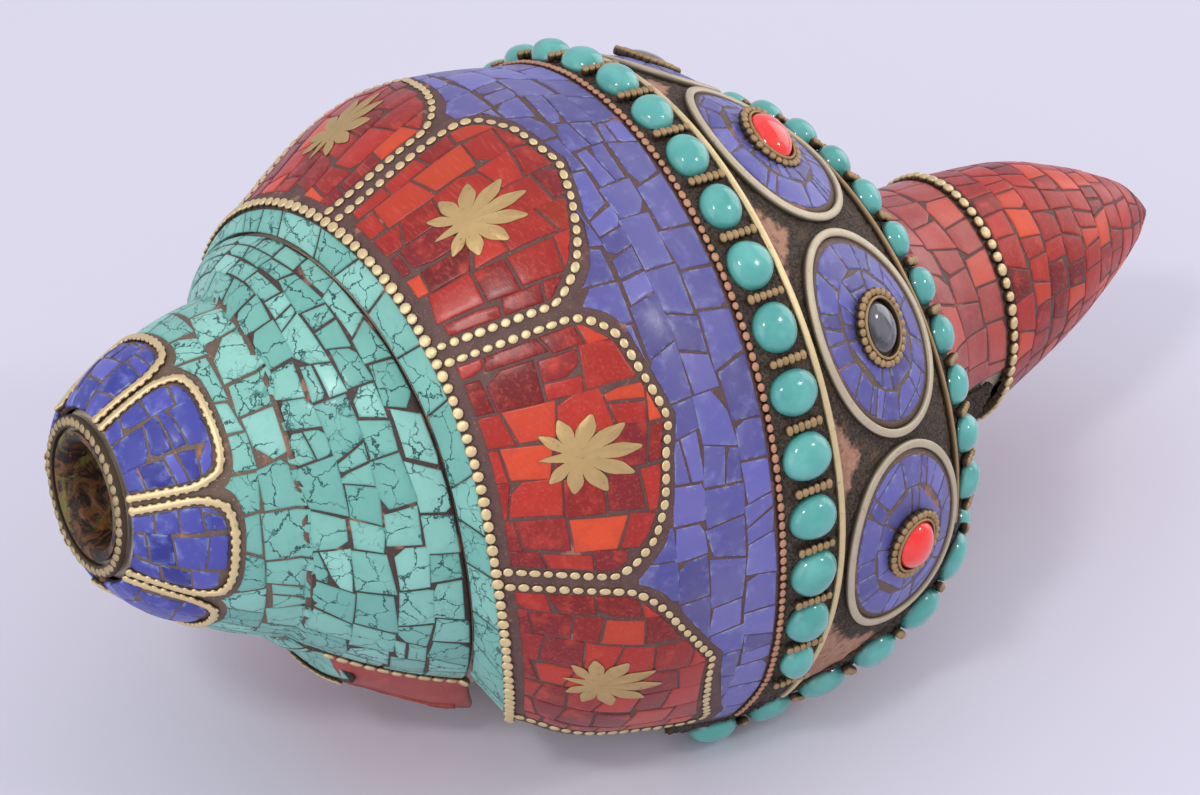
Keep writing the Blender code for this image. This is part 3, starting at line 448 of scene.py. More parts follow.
def turquoise_material():
    """Turquoise mosaic: each tile has its own tone, mottling and dark veins."""
    shader = Shader("turquoise_tile", Specular_IOR_Level=0.22, Coat_Weight=0.1, Coat_Roughness=0.12)
    at, first, second, third = shader.tile()
    base = shader.mix(first, (0.225, 0.51, 0.43), (0.135, 0.38, 0.325))
    base = shader.mix(shader.step(second, 0.6, 1.0), base, (0.29, 0.60, 0.52))
    mottle = shader.noise(3.5, 4.0, 0.6, at=at)
    base = shader.over(base, mottle, 0.35, (0.28, 0.60, 0.52))
    base = shader.over(base, shader.spots(0.52, 0.75, 1.6, 4.0, 0.65, at=at), 0.25, (0.11, 0.32, 0.27))
    bent = shader.moved(shader.noise(1.5, 4.0, 0.6, at=at, out=1), 2.2, at)
    edges = {"feature": "DISTANCE_TO_EDGE"}
    veins = []
    for size, width in ((4.6, 0.020), (2.0, 0.022)):
        cells = shader.node("TexVoronoi", settings=edges, Vector=bent, Scale=1.0 / (size * MM))
        veins.append(shader.flipped(shader.step(cells, width * 0.35, width * 1.5)))
    many = shader.spots(0.34, 0.50, 4.5, 2.0, at=at)
    few = shader.spots(0.48, 0.57, 3.0, 3.0, at=at)
    coarse = shader.times(veins[0], many)
    fine = shader.times(veins[1], shader.times(few, shader.step(third, 0.35, 0.65)))
    lines = shader.math("MAXIMUM", coarse, fine)
    base = shader.over(base, lines, 0.94, (0.012, 0.055, 0.06))
    # Painted shade: each tile is darkened on its rounded edge, down into the joint.
    base = shader.over(base, shader.attribute("edge"), 0.35, (0.03, 0.16, 0.14))
    grain = shader.bump(shader.noise(0.5, 3.0, at=at), 0.02, 0.35)
    normal = shader.bump(shader.flipped(lines), 0.05, 0.7, grain)
    return shader.done(base, normal, (0.26, mottle, 0.2))


def lapis_material(name="lapis_tile", haze=0.0):
    """Lapis mosaic with pale glints and pale, worn edges. Haze is dust that dulls it."""
    shader = Shader(name, Specular_IOR_Level=0.28, Coat_Weight=0.12, Coat_Roughness=0.16)
    at, first, second, _ = shader.tile()
    base = shader.mix(first, (0.036, 0.044, 0.26), (0.112, 0.118, 0.47))
    base = shader.mix(shader.step(second, 0.5, 1.0), base, (0.026, 0.030, 0.22))
    base = shader.mix(shader.spots(0.5, 0.8, 2.6, 5.0, 0.62, at=at), base, (0.15, 0.155, 0.48))
    base = shader.over(base, shader.spots(0.70, 0.78, 1.1, 3.0, 0.7, at=at), 0.5, (0.42, 0.50, 0.74))
    pale = shader.times(shader.attribute("edge"), shader.spots(0.5, 0.62, 1.8, 2.0, at=at))
    base = shader.over(base, pale, 0.55, (0.30, 0.40, 0.62))
    if haze:
        base = shader.over(base, shader.noise(11.0, 4.0, 0.6), 2.0 * haze, (0.33, 0.27, 0.30))
    marks = shader.scratches(at, 0.35)
    return shader.done(base, shader.bump(marks, 0.03, 0.5), (0.24, marks, 0.26))


def coral_material(name="coral_tile", haze=0.0):
    """Coral mosaic with polishing scratches. Haze is dust and wear that dulls it."""
    shader = Shader(name, Specular_IOR_Level=0.26, Coat_Weight=0.12, Coat_Roughness=0.18)
    at, first, second, third = shader.tile()
    base = shader.mix(first, (0.15, 0.010, 0.010), (0.46, 0.030, 0.018))
    base = shader.mix(shader.step(second, 0.66, 1.0), base, (0.68, 0.075, 0.022))
    base = shader.mix(shader.step(third, 0.78, 1.0), base, (0.20, 0.016, 0.020))
    base = shader.mix(shader.spots(0.46, 0.8, 3.0, 5.0, 0.6, at=at), base, (0.50, 0.050, 0.030))
    marks = shader.scratches(at, 0.4)
    base = shader.over(base, shader.step(marks, 0.52, 0.72), 0.30, (0.54, 0.12, 0.085))
    # Painted shade: each tile is darkened on its rounded edge, down into the joint.
    base = shader.over(base, shader.attribute("edge"), 0.3, (0.16, 0.02, 0.016))
    if haze:
        base = shader.over(base, shader.noise(9.0, 4.0, 0.6), 2.0 * haze, (0.50, 0.17, 0.15))
    return shader.done(base, shader.bump(marks, 0.05, 0.7), (0.20, marks, 0.28))


def grout_material(name, dark, light, pink_share):
    """Dark lac filling with paler, orange-pink patches and fine grit."""
    shader = Shader(name, Roughness=0.62)
    base = shader.mix(shader.noise(2.2, 5.0, 0.6), dark, light)
    grit = shader.noise(0.28, 3.0, 0.6)
    base = shader.mix(shader.step(grit, 0.60, 0.74), base, [v * 2.4 for v in light])
    patches = shader.spots(0.66 - pink_share, 0.74 - pink_share, 6.5, 4.0, 0.62)
    base = shader.over(base, patches, 0.8, (0.36, 0.155, 0.095))
    return shader.done(base, shader.bump(grit, 0.10, 0.6))


def metal_material(name, bright, dull, dark, roughness, metallic):
    """Worn metal: polished where it stands proud, with spots of dark dirt, and painted shade that darkens
    its low places and sides.
    """
    shader = Shader(name, Metallic=metallic)
    base = shader.mix(shader.noise(3.0, 4.0, 0.6), bright, dull)
    base = shader.over(base, shader.spots(0.58, 0.72, 0.8, 4.0, 0.65), 0.35, dark)
    # Painted shade: where the crown is low, on the feet and sides, the metal is darkened nearly to the
    # dirt colour.
    low = shader.flipped(shader.step(shader.attribute("crown"), 0.25, 0.72))
    base = shader.over(base, low, 0.9, dark)
    fine = shader.noise(0.35, 3.0, 0.6)
    return shader.done(base, shader.bump(fine, 0.03, 0.6), (roughness, fine, 0.22))


def cabochon_material():
    """Polished turquoise, painted dark at its foot as shade, with brown pits in some stones."""
    gloss = {"Roughness": 0.2, "Specular_IOR_Level": 0.35, "Coat_Weight": 0.6, "Coat_Roughness": 0.05}
    shader = Shader("turquoise_cabochon", **gloss)
    at, first, second, _ = shader.tile()
    base = shader.mix(first, (0.060, 0.31, 0.275), (0.095, 0.40, 0.36))
    base = shader.mix(shader.spots(0.35, 0.8, 4.0, 3.0, 0.5, at=at), base, (0.13, 0.46, 0.41))
    pits = shader.spots(0.69, 0.75, 1.9, 5.0, 0.7, at=at)
    pits = shader.times(pits, shader.step(second, 0.25, 0.5))
    base = shader.over(base, pits, 0.8, (0.035, 0.05, 0.035))
    # Painted shade: the low sides of each stone, where it meets its bed, are darkened.
    foot = shader.flipped(shader.step(shader.attribute("crown"), 0.0, 0.22))
    base = shader.over(base, foot, 0.75, (0.03, 0.09, 0.075))
    return shader.done(base, shader.bump(shader.flipped(pits), 0.06, 0.6))


def lac_material(name="gritty_lac", peach=False):
    """Gritty brown lac, in which the stones are bedded, pale orange where it was patched."""
    shader = Shader(name, Roughness=0.85)
    grit = shader.noise(0.42, 4.0, 0.7)
    base = shader.mix(shader.step(grit, 0.35, 0.68), (0.020, 0.013, 0.009), (0.115, 0.080, 0.055))
    base = shader.over(base, shader.spots(0.55, 0.72, 2.4, 4.0, 0.6), 0.6, (0.17, 0.085, 0.045))
    if peach:
        rough = shader.times(shader.noise(1.6, 5.0, 0.65), 0.9)
        patch = shader.step(shader.math("ADD", shader.attribute("peach"), rough), 0.82, 1.12)
        tone = shader.mix(shader.noise(0.9, 4.0, 0.6), (0.36, 0.15, 0.085), (0.62, 0.36, 0.25))
        base = shader.mix(patch, base, tone)
    base = shader.over(base, shader.spots(0.66, 0.76, 0.22, 2.0), 0.45, (0.34, 0.28, 0.21))
    return shader.done(base, shader.bump(grit, 0.45, 0.9))


def coral_dome_material():
    """Clear red coral, swirled with orange and paler at its foot."""
    shader = Shader("coral_dome", Roughness=0.12, Coat_Weight=0.8, Coat_Roughness=0.04)
    swirl = shader.spots(0.40, 0.70, 4.0, 3.0, 0.55, 1.2)
    base = shader.mix(swirl, (0.88, 0.012, 0.006), (0.90, 0.050, 0.025))
    low = shader.flipped(shader.step(shader.attribute("crown"), 0.0, 0.5))
    base = shader.over(base, low, 0.5, (0.85, 0.10, 0.06))
    shader.set("Subsurface Weight", 0.12)
    shader.set("Subsurface Radius", (1.0, 0.25, 0.15))
    shader.set("Subsurface Scale", 0.002)
    return shader.done(base)


def crystal_material():
    """A clear domed crystal over a dark backing."""
    shader = Shader("smoky_crystal", Roughness=0.03, Coat_Weight=1.0, Coat_Roughness=0.01)
    cloud = shader.spots(0.45, 0.60, 5.0, 3.0, 0.5, 0.6)
    base = shader.mix(cloud, (0.010, 0.010, 0.012), (0.11, 0.11, 0.12))
    rim = shader.flipped(shader.step(shader.attribute("crown"), 0.1, 0.6))
    return shader.done(shader.mix(rim, base, (0.10, 0.095, 0.08)))


def shell_material():
    """Bare shell: cream, with growth lines and rusty stains."""
    shader = Shader("bare_shell", Roughness=0.42, Coat_Weight=0.15, Coat_Roughness=0.2)
    lines = shader.node(
        "TexWave",
        settings={"wave_type": "RINGS", "rings_direction": "X"},
        Vector=shader.place,
        Scale=55.0,
        Distortion=3.5,
        Detail=3.0,
        Detail_Scale=1.2,
    )
    base = shader.mix(lines, (0.62, 0.50, 0.38), (0.72, 0.62, 0.50))
    base = shader.over(base, shader.spots(0.50, 0.74, 14.0, 5.0, 0.62), 0.6, (0.42, 0.26, 0.15))
    low = shader.bump(lines, 0.12, 0.5)
    return shader.done(base, shader.bump(shader.noise(0.6, 4.0, 0.6), 0.05, 0.5, low))


def patina_material():
    """The inside of the blow hole: brass gone brown, green and orange."""
    shader = Shader("mouth_patina", Metallic=0.35, Roughness=0.5)
    first = shader.noise(3.2, 5.0, 0.65, 0.8)
    base = shader.mix(shader.step(first, 0.42, 0.60), (0.018, 0.012, 0.009), (0.17, 0.07, 0.025))
    base = shader.over(base, shader.spots(0.52, 0.64, 4.2, 4.0, 0.6, 0.5), 0.85, (0.17, 0.15, 0.030))
    base = shader.over(base, shader.spots(0.60, 0.68, 2.6, 5.0, 0.68, 0.6), 0.85, (0.30, 0.060, 0.014))
    return shader.done(base, shader.bump(first, 0.5, 0.8))


MATERIALS = {
    "turquoise": turquoise_material(),
    "lapis": lapis_material(),
    "dusty_lapis": lapis_material("dusty_lapis_tile", 0.20),
    "coral": coral_material(),
    "dusty_coral": coral_material("dusty_coral_tile", 0.36),
    "cabochon": cabochon_material(),
    "lac": lac_material(),
    "patched_lac": lac_material("patched_lac", True),
    "red_stone": coral_dome_material(),
    "crystal": crystal_material(),
    "shell": shell_material(),
    "patina": patina_material(),
}
for key, *look in (
    # key        name           bright              dull                dirt, shade  roughness metallic
    ("brass", "bead_brass", (0.84, 0.68, 0.38), (0.66, 0.50, 0.25), (0.05, 0.030, 0.018), 0.34, 0.7),
    ("pale_brass", "frame_brass", (0.62, 0.53, 0.37), (0.46, 0.38, 0.26), (0.06, 0.045, 0.03), 0.36, 0.5),
    ("plate", "brass_plate", (0.60, 0.43, 0.19), (0.48, 0.32, 0.135), (0.10, 0.065, 0.03), 0.42, 0.7),
    ("old_brass", "old_brass", (0.50, 0.34, 0.16), (0.30, 0.19, 0.085), (0.035, 0.022, 0.014), 0.42, 0.55),
    ("rope_brass", "rope_brass", (0.50, 0.39, 0.21), (0.33, 0.24, 0.12), (0.04, 0.028, 0.018), 0.4, 0.5),
    ("copper", "copper_wire", (0.66, 0.34, 0.20), (0.44, 0.22, 0.12), (0.05, 0.03, 0.02), 0.42, 0.45),
):
    MATERIALS[key] = metal_material(*look)
for name, *look in (
    # name        dark                   light                share of pink
    ("dark_grout", (0.030, 0.016, 0.013), (0.085, 0.046, 0.035), 0.08),
    ("tan_grout", (0.075, 0.045, 0.030), (0.20, 0.13, 0.09), 0.08),
    ("grey_grout", (0.050, 0.020, 0.017), (0.15, 0.075, 0.062), 0.04),
):
    MATERIALS[name] = grout_material(name, *look)


# Pieces


def linked(name, data):
    """An object for some data, in the scene."""
    made = bpy.data.objects.new(name, data)
    bpy.context.scene.collection.objects.link(made)
    return made


def piece(name, points, faces, material, slot, nodes=(), attributes=None, sharp=None):
    """Makes a mesh object that rides on the shell and stands for these CAD nodes."""
    mesh = bpy.data.meshes.new(name)
    points = np.clip(points, np.array(CAD_BOX[0]) + BOX_MARGIN, np.array(CAD_BOX[1]) - BOX_MARGIN)
    mesh.from_pydata(points.tolist(), [], faces)
    mesh.materials.append(MATERIALS[material])
    for key, values in (attributes or {}).items():
        values = np.asarray(values, np.float32)
        kind, field = ("FLOAT_COLOR", "color") if values.ndim == 2 else ("FLOAT", "value")
        mesh.attributes.new(key, kind, "POINT").data.foreach_set(field, values.ravel())
    mesh.shade_smooth()
    if sharp:
        mesh.set_sharp_from_angle(angle=math.radians(sharp))
    made = linked(name, mesh)
    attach(made, "root")
    if nodes:
        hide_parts(*nodes)


def turned_over(faces):
    return [tuple(reversed(face)) for face in faces]


def outwards(points, faces):
    """The faces, each turned so that the closed solid they make faces out."""
    centre = points.mean(axis=0)
    volume = 0.0
    for face in faces:
        corners = points[list(face)] - centre
        for k in range(1, len(face) - 1):
            volume += float(np.dot(corners[0], np.cross(corners[k], corners[k + 1])))
    return faces if volume > 0.0 else turned_over(faces)


def grid_faces(rows, columns, base=0, round_it=True, over_it=False):
    """Faces between rows of points. round_it joins each row's ends, over_it the first and last row."""
    faces = []
    for i in range(rows if over_it else rows - 1):
        a, b = base + i * columns, base + (i + 1) % rows * columns
        for j in range(columns if round_it else columns - 1):
            k = (j + 1) % columns
            faces.append((a + j, a + k, b + k, b + j))
    return faces


def fan_faces(start, count, hub):
    """Triangles between a ring of points and one point."""
    return [(start + k, start + (k + 1) % count, hub) for k in range(count)]


def capped_faces(rings, sides, base):
    """A body of rings of points, closed by a point at its top and one at its foot after them."""
    top = base + rings * sides
    faces = grid_faces(rings, sides, base) + fan_faces(top - sides, sides, top)
    return faces + turned_over(fan_faces(base, sides, top + 1))


def slab(name, top, low, material, slot, nodes=(), closed=False, attributes=None):
    """A closed body between two grids of points; closed joins each row's ends."""
    rows, columns = top.shape[:2]
    count = rows * columns
    faces = grid_faces(rows, columns, round_it=closed)
    sides = {(face[k - 1], face[k]) for face in faces for k in range(4)}
    walls = [(b, a, count + a, count + b) for a, b in sorted(sides) if (b, a) not in sides]
    faces += turned_over([tuple(count + k for k in face) for face in faces]) + walls
    points = np.concatenate([top.reshape(-1, 3), low.reshape(-1, 3)])
    doubled = {}
    for key, values in (attributes or {}).items():
        flat = np.asarray(values, float).reshape(count, -1)
        flat = np.concatenate([flat, flat])
        doubled[key] = flat if flat.shape[1] > 1 else flat[:, 0]
    piece(name, points, outwards(points, faces), material, slot, nodes, doubled)


def sheet(name, w, theta, lift, material, slot, nodes=(), thickness=BED_THICKNESS, **more):
    """A closed body whose top is the surface on a grid of w and theta, raised by lift."""
    w, theta, lift = np.broadcast_arrays(w, theta, lift)
    top, low = surface(w, theta, lift), surface(w, theta, lift - thickness)
    slab(name, top, low, material, slot, nodes, **more)


def between(low, high, count):
    """Rows at even steps from low to high."""
    return low + (high - low) * np.linspace(0.0, 1.0, count)[:, None]


# Mosaic


def wandering(level, amount):
    """A line of w round the shell that wanders a little from its level."""

    def line(theta):
        turn = np.radians(theta)
        slow, quick = np.sin(5.0 * turn + 9.0 * level), np.sin(11.0 * turn + 21.0 * level)
        return level + amount * (slow + 0.6 * quick)

    return line


def level_line(level):
    return lambda at: level


def quads_round(theta_from, theta_to, w_lines, length, rng, wobble):
    """Rows of four-cornered tiles that run round the shell, between lines of w(theta)."""
    quads = []
    for low, high in zip(w_lines[:-1], w_lines[1:]):
        theta = theta_from - rng.uniform(0.0, 1.0) * 4.0
        middle = 0.5 * (low(theta) + high(theta))
        lean = 0.0
        while theta < theta_to:
            turn = degrees(length, middle, theta) * rng.uniform(0.72, 1.3)
            after = theta + turn
            middle = 0.5 * (low(after) + high(after))
            next_lean = turn * rng.uniform(-0.16, 0.16)
            height_a = high(theta) - low(theta)
            height_b = high(after) - low(after)
            sag = rng.uniform(-wobble, wobble, 4)
            quads.append((
                (theta - lean, low(theta) + sag[0] * height_a),
                (after - next_lean, low(after) + sag[1] * height_b),
                (after + next_lean, high(after) + sag[2] * height_b),
                (theta + lean, high(theta) + sag[3] * height_a),
            ))
            theta, lean = after, next_lean
    return quads


def quads_along(w_from, w_to, theta_lines, length, rng, wobble=0.07):
    """Rows of tiles that run along the profile, between the angles. The length is in w."""
    quads = []
    for low, high in zip(theta_lines[:-1], theta_lines[1:]):
        w = w_from - rng.uniform(0.0, 0.6) * length
        lean = 0.0
        width = high - low
        while w < w_to:
            step = length * rng.uniform(0.75, 1.35)
            after = w + step
            next_lean = step * rng.uniform(-0.14, 0.14)
            sag = rng.uniform(-wobble, wobble, 4)
            quads.append((
                (low + sag[0] * width, w - lean),
                (low + sag[1] * width, after - next_lean),
                (high + sag[2] * width, after + next_lean),
                (high + sag[3] * width, w + lean),
            ))
            w, lean = after, next_lean
    return quads


def signed_area(polygon):
    x, y = polygon[:, 0], polygon[:, 1]
    return 0.5 * float(np.sum(x * np.roll(y, -1) - np.roll(x, -1) * y))


def inset(polygon, distances):
    """A convex polygon, anticlockwise, with each side moved in by its own distance."""
    ahead = np.roll(polygon, -1, axis=0) - polygon
    normals = np.stack([-ahead[:, 1], ahead[:, 0]], -1)
    normals /= np.linalg.norm(normals, axis=1, keepdims=True) + 1e-9
    levels = np.sum(normals * polygon, axis=1) + distances
    corners = []
    for k in range(len(polygon)):
        system = np.stack([normals[k - 1], normals[k]])
        if abs(np.linalg.det(system)) < 0.05:
            corners.append(polygon[k] + normals[k] * distances[k])
        else:
            corners.append(np.linalg.solve(system, [levels[k - 1], levels[k]]))
    return np.array(corners)


def clip(subject, window):
    """The part of any polygon that lies in a convex, anticlockwise window."""
    result = [tuple(p) for p in subject]
    for k in range(len(window)):
        ax, ay = window[k]
        bx, by = window[(k + 1) % len(window)]
        ex, ey = bx - ax, by - ay
        source, result = result, []
        if not source:
            return source
        px, py = source[-1]
        side_before = ex * (py - ay) - ey * (px - ax)
        for x, y in source:
            side = ex * (y - ay) - ey * (x - ax)
            if (side >= 0.0) != (side_before >= 0.0):
                t = side_before / (side_before - side)
                result.append((px + (x - px) * t, py + (y - py) * t))
            if side >= 0.0:
                result.append((x, y))
            px, py, side_before = x, y, side
    return result


def tidy(polygon, shortest=0.12):
    """A polygon without doubled or nearly doubled corners."""
    kept = []
    for point in polygon:
        if not kept or math.dist(point, kept[-1]) > shortest:
            kept.append(point)
    while len(kept) > 2 and math.dist(kept[0], kept[-1]) <= shortest:
        kept.pop()
    return np.array(kept) if len(kept) > 2 else None


def divided(polygon, longest=1.7):
    """The polygon with its long sides divided."""
    points = []
    for k in range(len(polygon)):
        a, b = polygon[k], polygon[(k + 1) % len(polygon)]
        parts = max(1, int(math.ceil(np.linalg.norm(b - a) / longest)))
        points += [a + (b - a) * i / parts for i in range(parts)]
    return np.array(points)


def strip(edge, low, high):
    """The outline, (theta, w), of a strip between two lines over the same angles."""
    edge, low, high = np.broadcast_arrays(edge, low, high)
    return np.concatenate([np.stack([edge, low], -1), np.stack([edge, high], -1)[::-1]])


class Mosaic:
    """Tiles cut to a region of the surface, made into one mesh.

    joint is the least and the most that a tile's side is moved in, and smallest is the least area
    of a tile in square mm.
    """

    def __init__(self, region, joint, seed, lift=None, smallest=1.6):
        self.region = np.array(region)
        self.joint = joint
        self.rng = np.random.default_rng(seed)
        self.lift = lift
        self.smallest = smallest
        self.points, self.faces, self.tile, self.edge = [], [], [], []
        self.count = 0

    def metric(self, theta, w):
        """Millimetres per degree round the shell and per w along it."""
        s0, r0 = profile(w - 0.02, theta)
        s1, r1 = profile(w + 0.02, theta)
        return math.radians(float(r0 + r1) / 2.0), float(math.hypot(s1 - s0, r1 - r0)) / 0.04

    def lay_round(self, first, last, lines, length, wobble, chop, split):
        for quad in quads_round(first, last, lines, length, self.rng, wobble):
            self.add(quad, chop, split)

    def lay_along(self, first, last, lines, length, chop, split):
        for quad in quads_along(first, last, lines, length, self.rng):
            self.add(quad, chop, split)

    def add(self, quad, chop, split):
        """Cuts one quad of (theta, w) to a tile, or to two, and keeps what is in the region."""
        quad = np.array(quad)
        centre = quad.mean(axis=0)
        scale = np.array(self.metric(*centre))
        flat = (quad - centre) * scale
        if signed_area(flat) < 0.0:
            flat = flat[::-1]
        window = (self.region - centre) * scale
        reach = np.abs(flat).max() + 0.5
        if (window.min(axis=0) > reach).any() or (window.max(axis=0) < -reach).any():
            return
        shapes = [flat]
        if self.rng.random() < split:
            t = self.rng.uniform(0.35, 0.65, 2)
            a, b, c, d = np.roll(flat, int(self.rng.integers(0, 2)), axis=0)
            p, q = a + (b - a) * t[0], d + (c - d) * t[1]
            shapes = [np.array([a, p, q, d]), np.array([p, b, c, q])]
        for shape in shapes:
            shape = inset(shape, self.rng.uniform(*self.joint, len(shape)))
            if signed_area(shape) < self.smallest:
                continue
            if self.rng.random() < chop:
                shape = self.chopped(shape)
            cut = tidy(clip(window, shape))
            if cut is not None and abs(signed_area(cut)) >= self.smallest:
                self.build(cut[::-1] if signed_area(cut) < 0.0 else cut, centre, scale)

    def chopped(self, shape):
        """A tile with one corner knocked off."""
        k = int(self.rng.integers(0, len(shape)))
        before, corner, after = shape[k - 1], shape[k], shape[(k + 1) % len(shape)]
        t = self.rng.uniform(0.12, 0.42, 2)
        new = [corner + (before - corner) * t[0], corner + (after - corner) * t[1]]
        return np.concatenate([shape[:k], new, shape[k + 1 :]])

    def build(self, outline, centre, scale):
        """Adds a tile: a flat-bottomed plate with rounded edges that follows the surface."""
        outline = divided(outline)
        middle = outline.mean(axis=0)
        spokes = outline - middle
        radius = np.linalg.norm(spokes, axis=1, keepdims=True) + 1e-6
        high = self.rng.normal(0.0, 0.018)
        slope = self.rng.normal(0.0, 0.006, 2)
        moves, levels, edges = zip(*TILE_SECTION)
        rings = [middle + spokes * np.maximum(1.0 - move / radius, 0.4) for move in moves]
        flat = np.concatenate([*rings, middle + spokes * 0.5, middle[None]])
        count, base = len(outline), self.count
        sizes = [count] * (len(rings) + 1) + [1]
        lift = np.repeat((*levels, 0.0, 0.0), sizes)
        lift = lift + np.where(lift > levels[0], high + (flat - middle) @ slope, 0.0)
        self.points.append(np.column_stack([flat / scale + centre, lift]))
        hub = base + len(flat) - 1
        self.faces += grid_faces(len(rings) + 1, count, base) + fan_faces(hub - count, count, hub)
        self.faces.append(tuple(base + k for k in reversed(range(count))))
        self.tile += [(*self.rng.random(3), 1.0)] * len(flat)
        self.edge.append(np.repeat((*edges, 0.0, 0.0), sizes))
        self.count += len(flat)

    def finish(self, name, material, slot, nodes=()):
        theta, w, lift = np.concatenate(self.points).T
        if self.lift:
            lift = lift + self.lift(w, theta)
        points = surface(w, theta, lift)
        attributes = {"tile": self.tile, "edge": np.concatenate(self.edge)}
        piece(name, points, self.faces_out(points), material, slot, nodes, attributes)

    def faces_out(self, points):
        """Faces wound so that the tops face away from the axis: the map may turn them over."""
        a, b, c = (points[i] for i in self.faces[-2])
        start = place(0.0, 0.0, 0.0)
        axis = (place(1.0, 0.0, 0.0) - start) / MM
        out = a - start - axis * ((a - start) @ axis)
        return self.faces if np.cross(b - a, c - a) @ out > 0.0 else turned_over(self.faces)


# Beads, ribbons and stones


def flattened(vectors, normals):
    """Unit vectors along these, square to the normals."""
    return unit(vectors - (vectors * normals).sum(-1, keepdims=True) * normals)


def stand(w, theta, lift, run=None):
    """Points on the surface with their outward normals and the directions of the line they make."""
    points = surface(w, theta, lift)
    normals = unit(surface(w, theta, lift + 1.0) - points)
    run = np.gradient(points, axis=0) if run is None else run
    return points, normals, flattened(run, normals)


def paced(w, theta, pitch, closed, ends):
    """w, theta and directions at an even pitch in mm along a dense line."""
    w, theta = np.broadcast_arrays(w, theta)
    line = surface(w, theta) / MM
    if closed:
        line = np.concatenate([line, line[:1]])
        w, theta = np.append(w, w[0]), np.append(theta, theta[0])
    length = lengths(line)
    index = np.arange(len(line), dtype=float)
    span = length[-1] - 2.0 * ends
    count = max(2, int(round(span / pitch)) + (0 if closed else 1))
    at = ends + np.arange(count) * span / (count if closed else count - 1)
    where = np.interp(at, length, index)
    direction = np.gradient(line, axis=0)
    run = np.stack([np.interp(where, index, direction[:, k]) for k in range(3)], -1)
    return np.interp(where, index, w), np.interp(where, index, theta), run


def bead_mesh(centres, normals, runs, long, wide, high, seed, jitter=0.13):
    """Flattened beads: long along the line, wide across it and high above it, all in mm."""
    rng = np.random.default_rng(seed)
    across = np.cross(normals, runs)
    count = len(centres)
    sizes = (np.broadcast_to(v, count) for v in (long, wide, high))
    long, wide, high = (v * rng.uniform(1 - jitter, 1 + jitter, count) for v in sizes)
    turn = np.arange(BEAD_SIDES) * 2.0 * math.pi / BEAD_SIDES
    cos, sin = np.cos(turn)[None, :, None], np.sin(turn)[None, :, None]
    ring = cos * (runs * long[:, None])[:, None] + sin * (across * wide[:, None])[:, None]
    rise = (normals * high[:, None])[:, None]
    layers = [centres[:, None] + MM * (share * ring + level * rise) for share, level, _ in BEAD_RINGS]
    ends = [centres[:, None] + MM * level * rise for level in (0.66, -0.8)]
    points = np.concatenate([*layers, *ends], axis=1)
    crowns = np.repeat([crown for _, _, crown in BEAD_RINGS] + [1.0, 0.0], [BEAD_SIDES] * 5 + [1, 1])
    faces = []
    for bead in range(count):
        faces += capped_faces(len(BEAD_RINGS), BEAD_SIDES, bead * points.shape[1])
    return points.reshape(-1, 3), faces, np.tile(crowns, count)


def beads_on(w, theta, lift, pitch, long, wide, high, seed, closed=False, ends=0.0):
    """Beads at an even pitch on a dense line of the surface."""
    at_w, at_theta, run = paced(w, theta, pitch, closed, ends)
    return bead_mesh(*stand(at_w, at_theta, lift, run), long, wide, high, seed)


def ribbon(w, theta, lift, width, height, closed=False):
    """A strip that stands on the surface along a dense line, with a slightly crowned top."""
    points, normals, runs = stand(w, theta, lift)
    if closed:
        line = np.concatenate([points[-1:], points, points[:1]])
        runs = unit(line[2:] - line[:-2])
    across = np.cross(normals, runs) * width / 2.0
    right = ((0.72, 0.0), (1.0, -0.12), (1.0, -height))
    section = [(-x, z) for x, z in reversed(right)] + [(0.0, 0.05), *right]
    rings = np.stack([points + MM * (across * x + normals * z) for x, z in section], 1)
    count, sides = len(points), len(section)
    faces = grid_faces(count, sides, over_it=closed)
    if not closed:
        faces.append(tuple(range(sides)))
        faces.append(tuple((count - 1) * sides + k for k in reversed(range(sides))))
    points = rings.reshape(-1, 3)
    return points, outwards(points, faces), np.tile((0.0, 0.55, 1.0, 1.0, 1.0, 0.55, 0.0), count)


def metal(name, parts, material, slot, nodes=(), sharp=None):
    """Several parts, each points, faces and crown, as one piece of metal."""
    faces, base = [], 0
    for points, part_faces, _ in parts:
        faces += [tuple(i + base for i in face) for face in part_faces]
        base += len(points)
    points, crown = (np.concatenate([part[k] for part in parts]) for k in (0, 2))
    piece(name, points, faces, material, slot, nodes, {"crown": crown}, sharp)


def domes(centres, normals, runs, long, wide, high, seed, sides=28, levels=9, foot=0.35):
    """Domed oval stones: points, faces, crowns and random numbers."""
    rng = np.random.default_rng(seed)
    across = np.cross(normals, runs)
    turn = np.arange(sides) * 2.0 * math.pi / sides
    rise = np.linspace(0.0, math.pi / 2.0, levels)[:-1]
    each = sides * levels + 2
    points, tile, faces = [], [], []
    for k, centre in enumerate(centres):
        size = rng.uniform(0.94, 1.05, 3)
        oval = 1.0 + 0.025 * np.sin(2.0 * turn + rng.uniform(0.0, 6.0))
        oval += 0.02 * np.sin(3.0 * turn + rng.uniform(0.0, 6.0))
        half_long, half_wide = (np.ravel(v)[k % np.size(v)] / 2.0 for v in (long, wide))
        ring = np.outer(np.cos(turn) * oval * size[0] * half_long, runs[k])
        ring += np.outer(np.sin(turn) * oval * size[1] * half_wide, across[k])
        up = normals[k] * high * size[2]
        points.append(centre + (ring - normals[k] * foot) * MM)
        for angle in rise:
            points.append(centre + (ring * math.cos(angle) ** 0.85 + up * math.sin(angle)) * MM)
        points.append((centre + up * MM)[None])
        points.append((centre - normals[k] * foot * MM)[None])
        tile += [(*rng.random(3), 1.0)] * each
        faces += capped_faces(levels, sides, k * each)
    crowns = np.repeat([0.0, *np.sin(rise), 1.0, 0.0], [sides] * levels + [1, 1])
    return np.concatenate(points), faces, {"crown": np.tile(crowns, len(centres)), "tile": tile}


